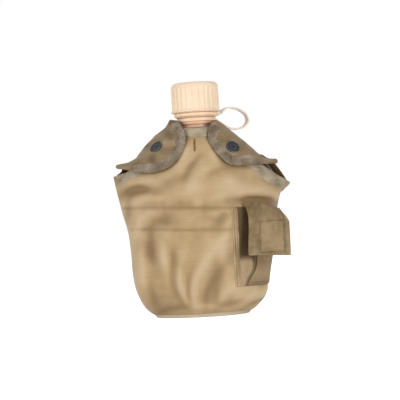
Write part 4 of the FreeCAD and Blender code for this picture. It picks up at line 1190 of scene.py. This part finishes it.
# Point of the flap: along from its middle, part of the way down, over its inside.
def pocketFlapAt(along, part, over):
    spot = lineAt(pocketProfile, part)
    if along > 0:
        along *= 1.04 - 0.38 * (1 - smoothStep(0.0, 0.40, part)) - 0.03 * smoothStep(0.5, 1.0, part)
    else:
        along *= 1 + 0.10 * smoothStep(0.3, 1.0, part)
    out = spot.y + over
    start, end, depth = pocketFlapShape["turnedEdge"]
    turned = smoothStep(start, end, along)
    out -= depth * turned * turned * smoothStep(0.0, 0.35, part)
    start, end, depth = pocketFlapShape["leftEdge"]
    out -= depth * smoothStep(start, end, along)
    crease = bell(along - pocketFlapShape["creaseLine"], 1.0) * smoothStep(0.2, 0.35, part)
    out -= 0.75 * crease
    patch = smoothStep(-14.0, -12.4, along) * (1 - smoothStep(12.8, 14.0, along))
    out += 0.35 * patch * smoothStep(0.36, 0.4, part)
    out += 0.6 * noiseAt(along * 0.07, spot.z * 0.06, 15.0)
    out += 0.3 * noiseAt(along * 0.16, spot.z * 0.13, 25.0)
    height = spot.z + (0.8 - 2.9 * (along / 45.0 + 0.5)) * smoothStep(0.2, 1.0, part)
    height += 0.5 * noiseAt(along * 0.13, 0.0, 35.0) * smoothStep(0.6, 1.0, part)
    height -= 6.4 * smoothStep(-14.0, 16.0, along) * (1 - smoothStep(0.1, 0.5, part))
    return pocketPlace(along, out, height)


# Lighter on the stitched patch and darker along its stitch lines; painted shade along the crease
# line, painted highlight on the turned-back edge, and darker towards the top.
def pocketFlapShade(co):
    left, right, low, high = pocketFlapShape["patch"]
    along = (co - pocketPlace(0, 0, 0)).dot(alongPocket)
    sideways = min(along - left, right - along)
    upwards = min(co.z - low, high - co.z)
    inside = smoothStep(-0.5, 1.5, min(sideways, upwards))
    border = bell(min(sideways, upwards), 0.6)
    # Painted shade along the crease.
    crease = bell(along - pocketFlapShape["creaseLine"] - 0.2, 0.7)
    # Painted highlight on the turned-back edge, which faces another way.
    beyond = smoothStep(15.5, 17.5, along)
    top = 1 - smoothStep(84.0, 96.0, co.z)
    broad = noiseAt(co.x * 0.08, co.z * 0.07, 15.0)
    fine = noiseAt(co.x * 0.30, co.z * 0.22, 16.0)
    total = 0.7 * broad + 0.55 * fine + 0.45 * inside + 0.5 * beyond * top
    return total - 0.7 * border - 1.2 * crease - 0.35 * (1 - top)


def makePocketFlap():
    half = pocketFlapShape["half"]
    flap = shapedGrid("pocketFlap", 70, 70,
                      lambda a, b: pocketFlapAt(half * (2 * a - 1), b, 0.0))
    marked(flap, pocketFlapShade)
    thicken(flap, outOfPocket, pocketFlapShape["thickness"])
    dress(flap, pocketCloth, "pocket_flap", ["pocket_flap"])

    over = pocketFlapShape["thickness"] + 0.1
    left, right, low, high = pocketFlapShape["patch"]
    top, bottom = pocketProfile[0].z, pocketProfile[-1].z
    lines = []

    def line(start, end):
        points = []
        for i in range(40):
            along = start[0] + (end[0] - start[0]) * i / 39
            height = start[1] + (end[1] - start[1]) * i / 39
            points.append(pocketFlapAt(along, (top - height) / (top - bottom), over))
        lines.append(stitches("row", points, [outOfPocket] * 40, finePiece))

    for height in (low, low + 1.9, high - 1.9, high):
        line((left, height), (right, height))
    for along in (left, right):
        line((along, low), (along, high))
    line((-half + 2.2, bottom + 2.0), (-half + 2.2, 94.0))
    rows = joined("pocketFlapRows", lines)
    dress(rows, khakiThread, "pocket_flap")


pocketSeam = {"past": 14.0, "height": 100.2, "fall": 5.6, "out": 11.6, "furthest": 66.0}


# The strip that the flap hangs from, sewn flat to the cover above it, in the dark gusset cloth as
# painted shade under the flap's top.
def makePocketSeam():
    half = pocketFlapShape["half"]

    def place(a, b):
        along = -half + (half + pocketSeam["past"]) * a
        height = pocketSeam["height"] - pocketSeam["fall"] * smoothStep(-14.0, 16.0, along)
        hang = pocketPlace(along, pocketSeam["out"], height)
        sewnX = min(hang.x + 1.0, pocketSeam["furthest"])
        sewn = frontAt(sewnX, height + 0.6, 1.2)[0]
        return hang.lerp(sewn, b)

    strip = shapedGrid("pocketSeam", 50, 12, place)
    thicken(strip, (0.3, -0.5, 1), 1.0)
    dress(strip, gussetShadeCloth, "canteen", ["pocket_flap_seam"])


def makeTapePatch(name, body, out, low, high, left, right, node):
    def place(a, b):
        height = low + (high - low) * b
        tuft = 0.15 * noiseAt(a * 30, b * 30, out)
        return pocketPlace(left + (right - left) * a, out + tuft, height)

    patch = shapedGrid(name, 30, 30, place)
    thicken(patch, outOfPocket, 0.6, rounding=0)
    dress(patch, hookTape, body, [node])


makePocketBody()
makePocketFlap()
makePocketSeam()
makeTapePatch("loopPatch", "canteen", 15.9, 58.5, 84.5, -11.0, 8.0, "pocket_loop_tape")
makeTapePatch("hookPatch", "pocket_flap", 16.6, 57.0, 82.0, -12.0, 12.0, "pocket_hook_tape")
print("pocket ready")


webbingShape = {"low": 101.0, "high": 127.0, "half": 50.0, "stand": 31.5, "thickness": 1.5,
                "over": 2.3, "rows": (-46.5, -37.5, -2.4, 2.4, 37.5, 46.5)}


def backDepth(x, height, offset):
    half, radius = formAt(height, offset)
    centre = half - radius
    if abs(x) < centre:
        hollow = centre / math.sin(backAngle) - radius
        return centre / math.tan(backAngle) - math.sqrt(hollow ** 2 - x * x)
    return math.sqrt(max(0.0, radius ** 2 - (abs(x) - centre) ** 2))


def makeWebbing():
    shape = webbingShape

    def place(a, b):
        x = shape["half"] * (2 * a - 1)
        height = shape["low"] + (shape["high"] - shape["low"]) * b
        over = smoothStep(3.4, 8.2, abs(x)) * (1 - smoothStep(30.2, 36.0, abs(x)))
        sewn = backDepth(x, height, shape["over"])
        depth = max(sewn, shape["stand"]) if over > 0.99 else sewn + (
            max(sewn, shape["stand"]) - sewn) * over
        return Vector((x, depth, height))

    band = shapedGrid("backWebbing", 140, 24, place)
    thicken(band, (0, 1, 0), shape["thickness"])
    dress(band, webbingCloth, "canteen", ["back_webbing"])
    lines = []
    for x in shape["rows"]:
        points = []
        for i in range(30):
            height = shape["low"] + 2.0 + (shape["high"] - shape["low"] - 4.0) * i / 29
            depth = backDepth(x, height, shape["over"]) + shape["thickness"] + 0.12
            points.append(Vector((x, depth, height)))
        lines.append(stitches("row", points, [Vector((0, 1, 0))] * 30))
    rows = joined("webbingRows", lines)
    dress(rows, khakiThread, "canteen")


makeWebbing()
print("webbing ready")


finishes = {
    "canteen_bottle": bottlePlastic, "screw_cap": capPlastic, "cap_liner": linerRubber,
    "strap_cap_ring": ringPlastic, "strap_neck_ring": ringPlastic,
    "retaining_strap": strapPlastic,
    "left_snap_cap": snapEnamel, "right_snap_cap": snapEnamel,
    "left_snap_socket": snapEnamel, "right_snap_socket": snapEnamel,
    "left_snap_stud": snapEnamel, "right_snap_stud": snapEnamel,
    "left_keeper": keeperSteel, "right_keeper": keeperSteel,
    "left_slider": keeperSteel, "right_slider": keeperSteel,
}


def finishNodes():
    for name, material in finishes.items():
        node = nodes[name]
        if not node.material_slots:
            node.data.materials.append(material)
        for slot in node.material_slots:
            slot.material = material


def nodePoints(name):
    node = nodes[name]
    return [node.matrix_world @ vertex.co for vertex in node.data.vertices]


# Two raised rings on the face of a snap's cap, in a lighter metal than the cap that puts a painted
# highlight on its rim and dome.
def makeSnapRim(side):
    cap = nodePoints(side + "_snap_cap")
    socket = nodePoints(side + "_snap_socket")
    centre = sum(cap, Vector()) / len(cap)
    axis = (centre - sum(socket, Vector()) / len(socket)).normalized()
    radius = max(((point - centre).cross(axis)).length for point in cap)
    rings = []
    for share, thick in ((0.84, 0.42), (0.40, 0.30)):
        near = [(point - centre).dot(axis) for point in cap
                if abs((point - centre).cross(axis).length / radius - share) < 0.22]
        deselectAll()
        bpy.ops.mesh.primitive_torus_add(major_segments=48, minor_segments=10,
                                         major_radius=radius * share, minor_radius=thick * mm)
        ring = bpy.context.object
        ring.rotation_euler = axis.to_track_quat("Z", "Y").to_euler()
        ring.location = centre + axis * (max(near) - 0.1 * mm)
        bpy.ops.object.transform_apply(location=True, rotation=True, scale=True)
        rings.append(ring)
    rim = joined(side + "SnapRim", rings)
    smooth(rim)
    dress(rim, snapRim, side + "_flap")


finishNodes()
for snapSide in ("left", "right"):
    makeSnapRim(snapSide)
print("solids finished")


setting = {
    "distance": 1.25, "width": 0.372, "roll": 3.4, "look": (-0.001, 0.0, 0.1066),
    "world": 0.62, "glow": 0.75,
}
lampRows = [  # name, place, target, power, size
    ("keyLamp", (0.75, -1.15, 0.12), (0, 0, 0.08), 7.0, 0.3),
    ("fillLamp", (-0.95, -0.8, 0.35), (0, 0, 0.1), 5.0, 0.8),
    ("topLamp", (0.1, 0.5, 1.2), (0, 0, 0.1), 0.8, 0.8),
]


# What the camera and one other kind of ray see differs from what lights the scene.
def seenMix(tree, kind, usual, seen, output):
    paths = tree.nodes.new("ShaderNodeLightPath")
    factor = mathNode(tree, "MAXIMUM", paths.outputs["Is Camera Ray"], paths.outputs[kind])
    mix = tree.nodes.new("ShaderNodeMixShader")
    for index, value in enumerate((factor, usual.outputs[0], seen.outputs[0])):
        link(tree, value, mix.inputs[index])
    link(tree, mix.outputs[0], tree.nodes[output].inputs["Surface"])


def makeStage():
    deselectAll()
    bpy.ops.mesh.primitive_plane_add(size=8.0, location=(0, 0, 0))
    floor = bpy.context.object
    floor.name = "floor"
    material = bpy.data.materials.new("paleFloor")
    material.use_nodes = True
    tree = material.node_tree
    shader = tree.nodes["Principled BSDF"]
    setValues(shader, {"Base Color": (0.86, 0.86, 0.86, 1), "Roughness": 0.9})
    glow = tree.nodes.new("ShaderNodeEmission")
    setValues(glow, {"Color": (1, 1, 1, 1), "Strength": setting["glow"]})
    add = tree.nodes.new("ShaderNodeAddShader")
    link(tree, shader.outputs[0], add.inputs[0])
    link(tree, glow.outputs[0], add.inputs[1])
    seenMix(tree, "Is Glossy Ray", shader, add, "Material Output")
    floor.data.materials.append(material)


def makeWorld():
    world = bpy.data.worlds.new("paleRoom")
    bpy.context.scene.world = world
    world.use_nodes = True
    tree = world.node_tree
    background = tree.nodes["Background"]
    setValues(background, {"Color": (1.0, 0.99, 0.975, 1), "Strength": setting["world"]})
    white = tree.nodes.new("ShaderNodeBackground")
    setValues(white, {"Color": (1, 1, 1, 1), "Strength": 1.0})
    seenMix(tree, "Is Transmission Ray", background, white, "World Output")


def addLamp(name, place, target, power, size):
    lamp = bpy.data.lights.new(name, "AREA")
    lamp.energy = power
    lamp.shape = "DISK"
    lamp.size = size
    holder = placed(name, lamp)
    holder.location = place
    aim = Vector(target) - Vector(place)
    holder.rotation_euler = aim.to_track_quat("-Z", "Y").to_euler()


def makeCamera():
    camera = bpy.data.cameras.new("camera")
    camera.sensor_width = 36.0
    camera.lens = 36.0 * setting["distance"] / setting["width"]
    holder = placed("camera", camera)
    roll = math.radians(setting["roll"])
    right = Vector((math.cos(roll), 0, -math.sin(roll)))
    up = Vector((math.sin(roll), 0, math.cos(roll)))
    back = right.cross(up)
    turn = Matrix((right, up, back)).transposed().to_4x4()
    place = Vector(setting["look"]) + Vector((0, -setting["distance"], 0))
    holder.matrix_world = Matrix.Translation(place) @ turn
    bpy.context.scene.camera = holder


makeStage()
makeWorld()
for lampRow in lampRows:
    addLamp(*lampRow)
makeCamera()
bpy.context.scene.view_settings.view_transform = "Standard"
print("stage ready")
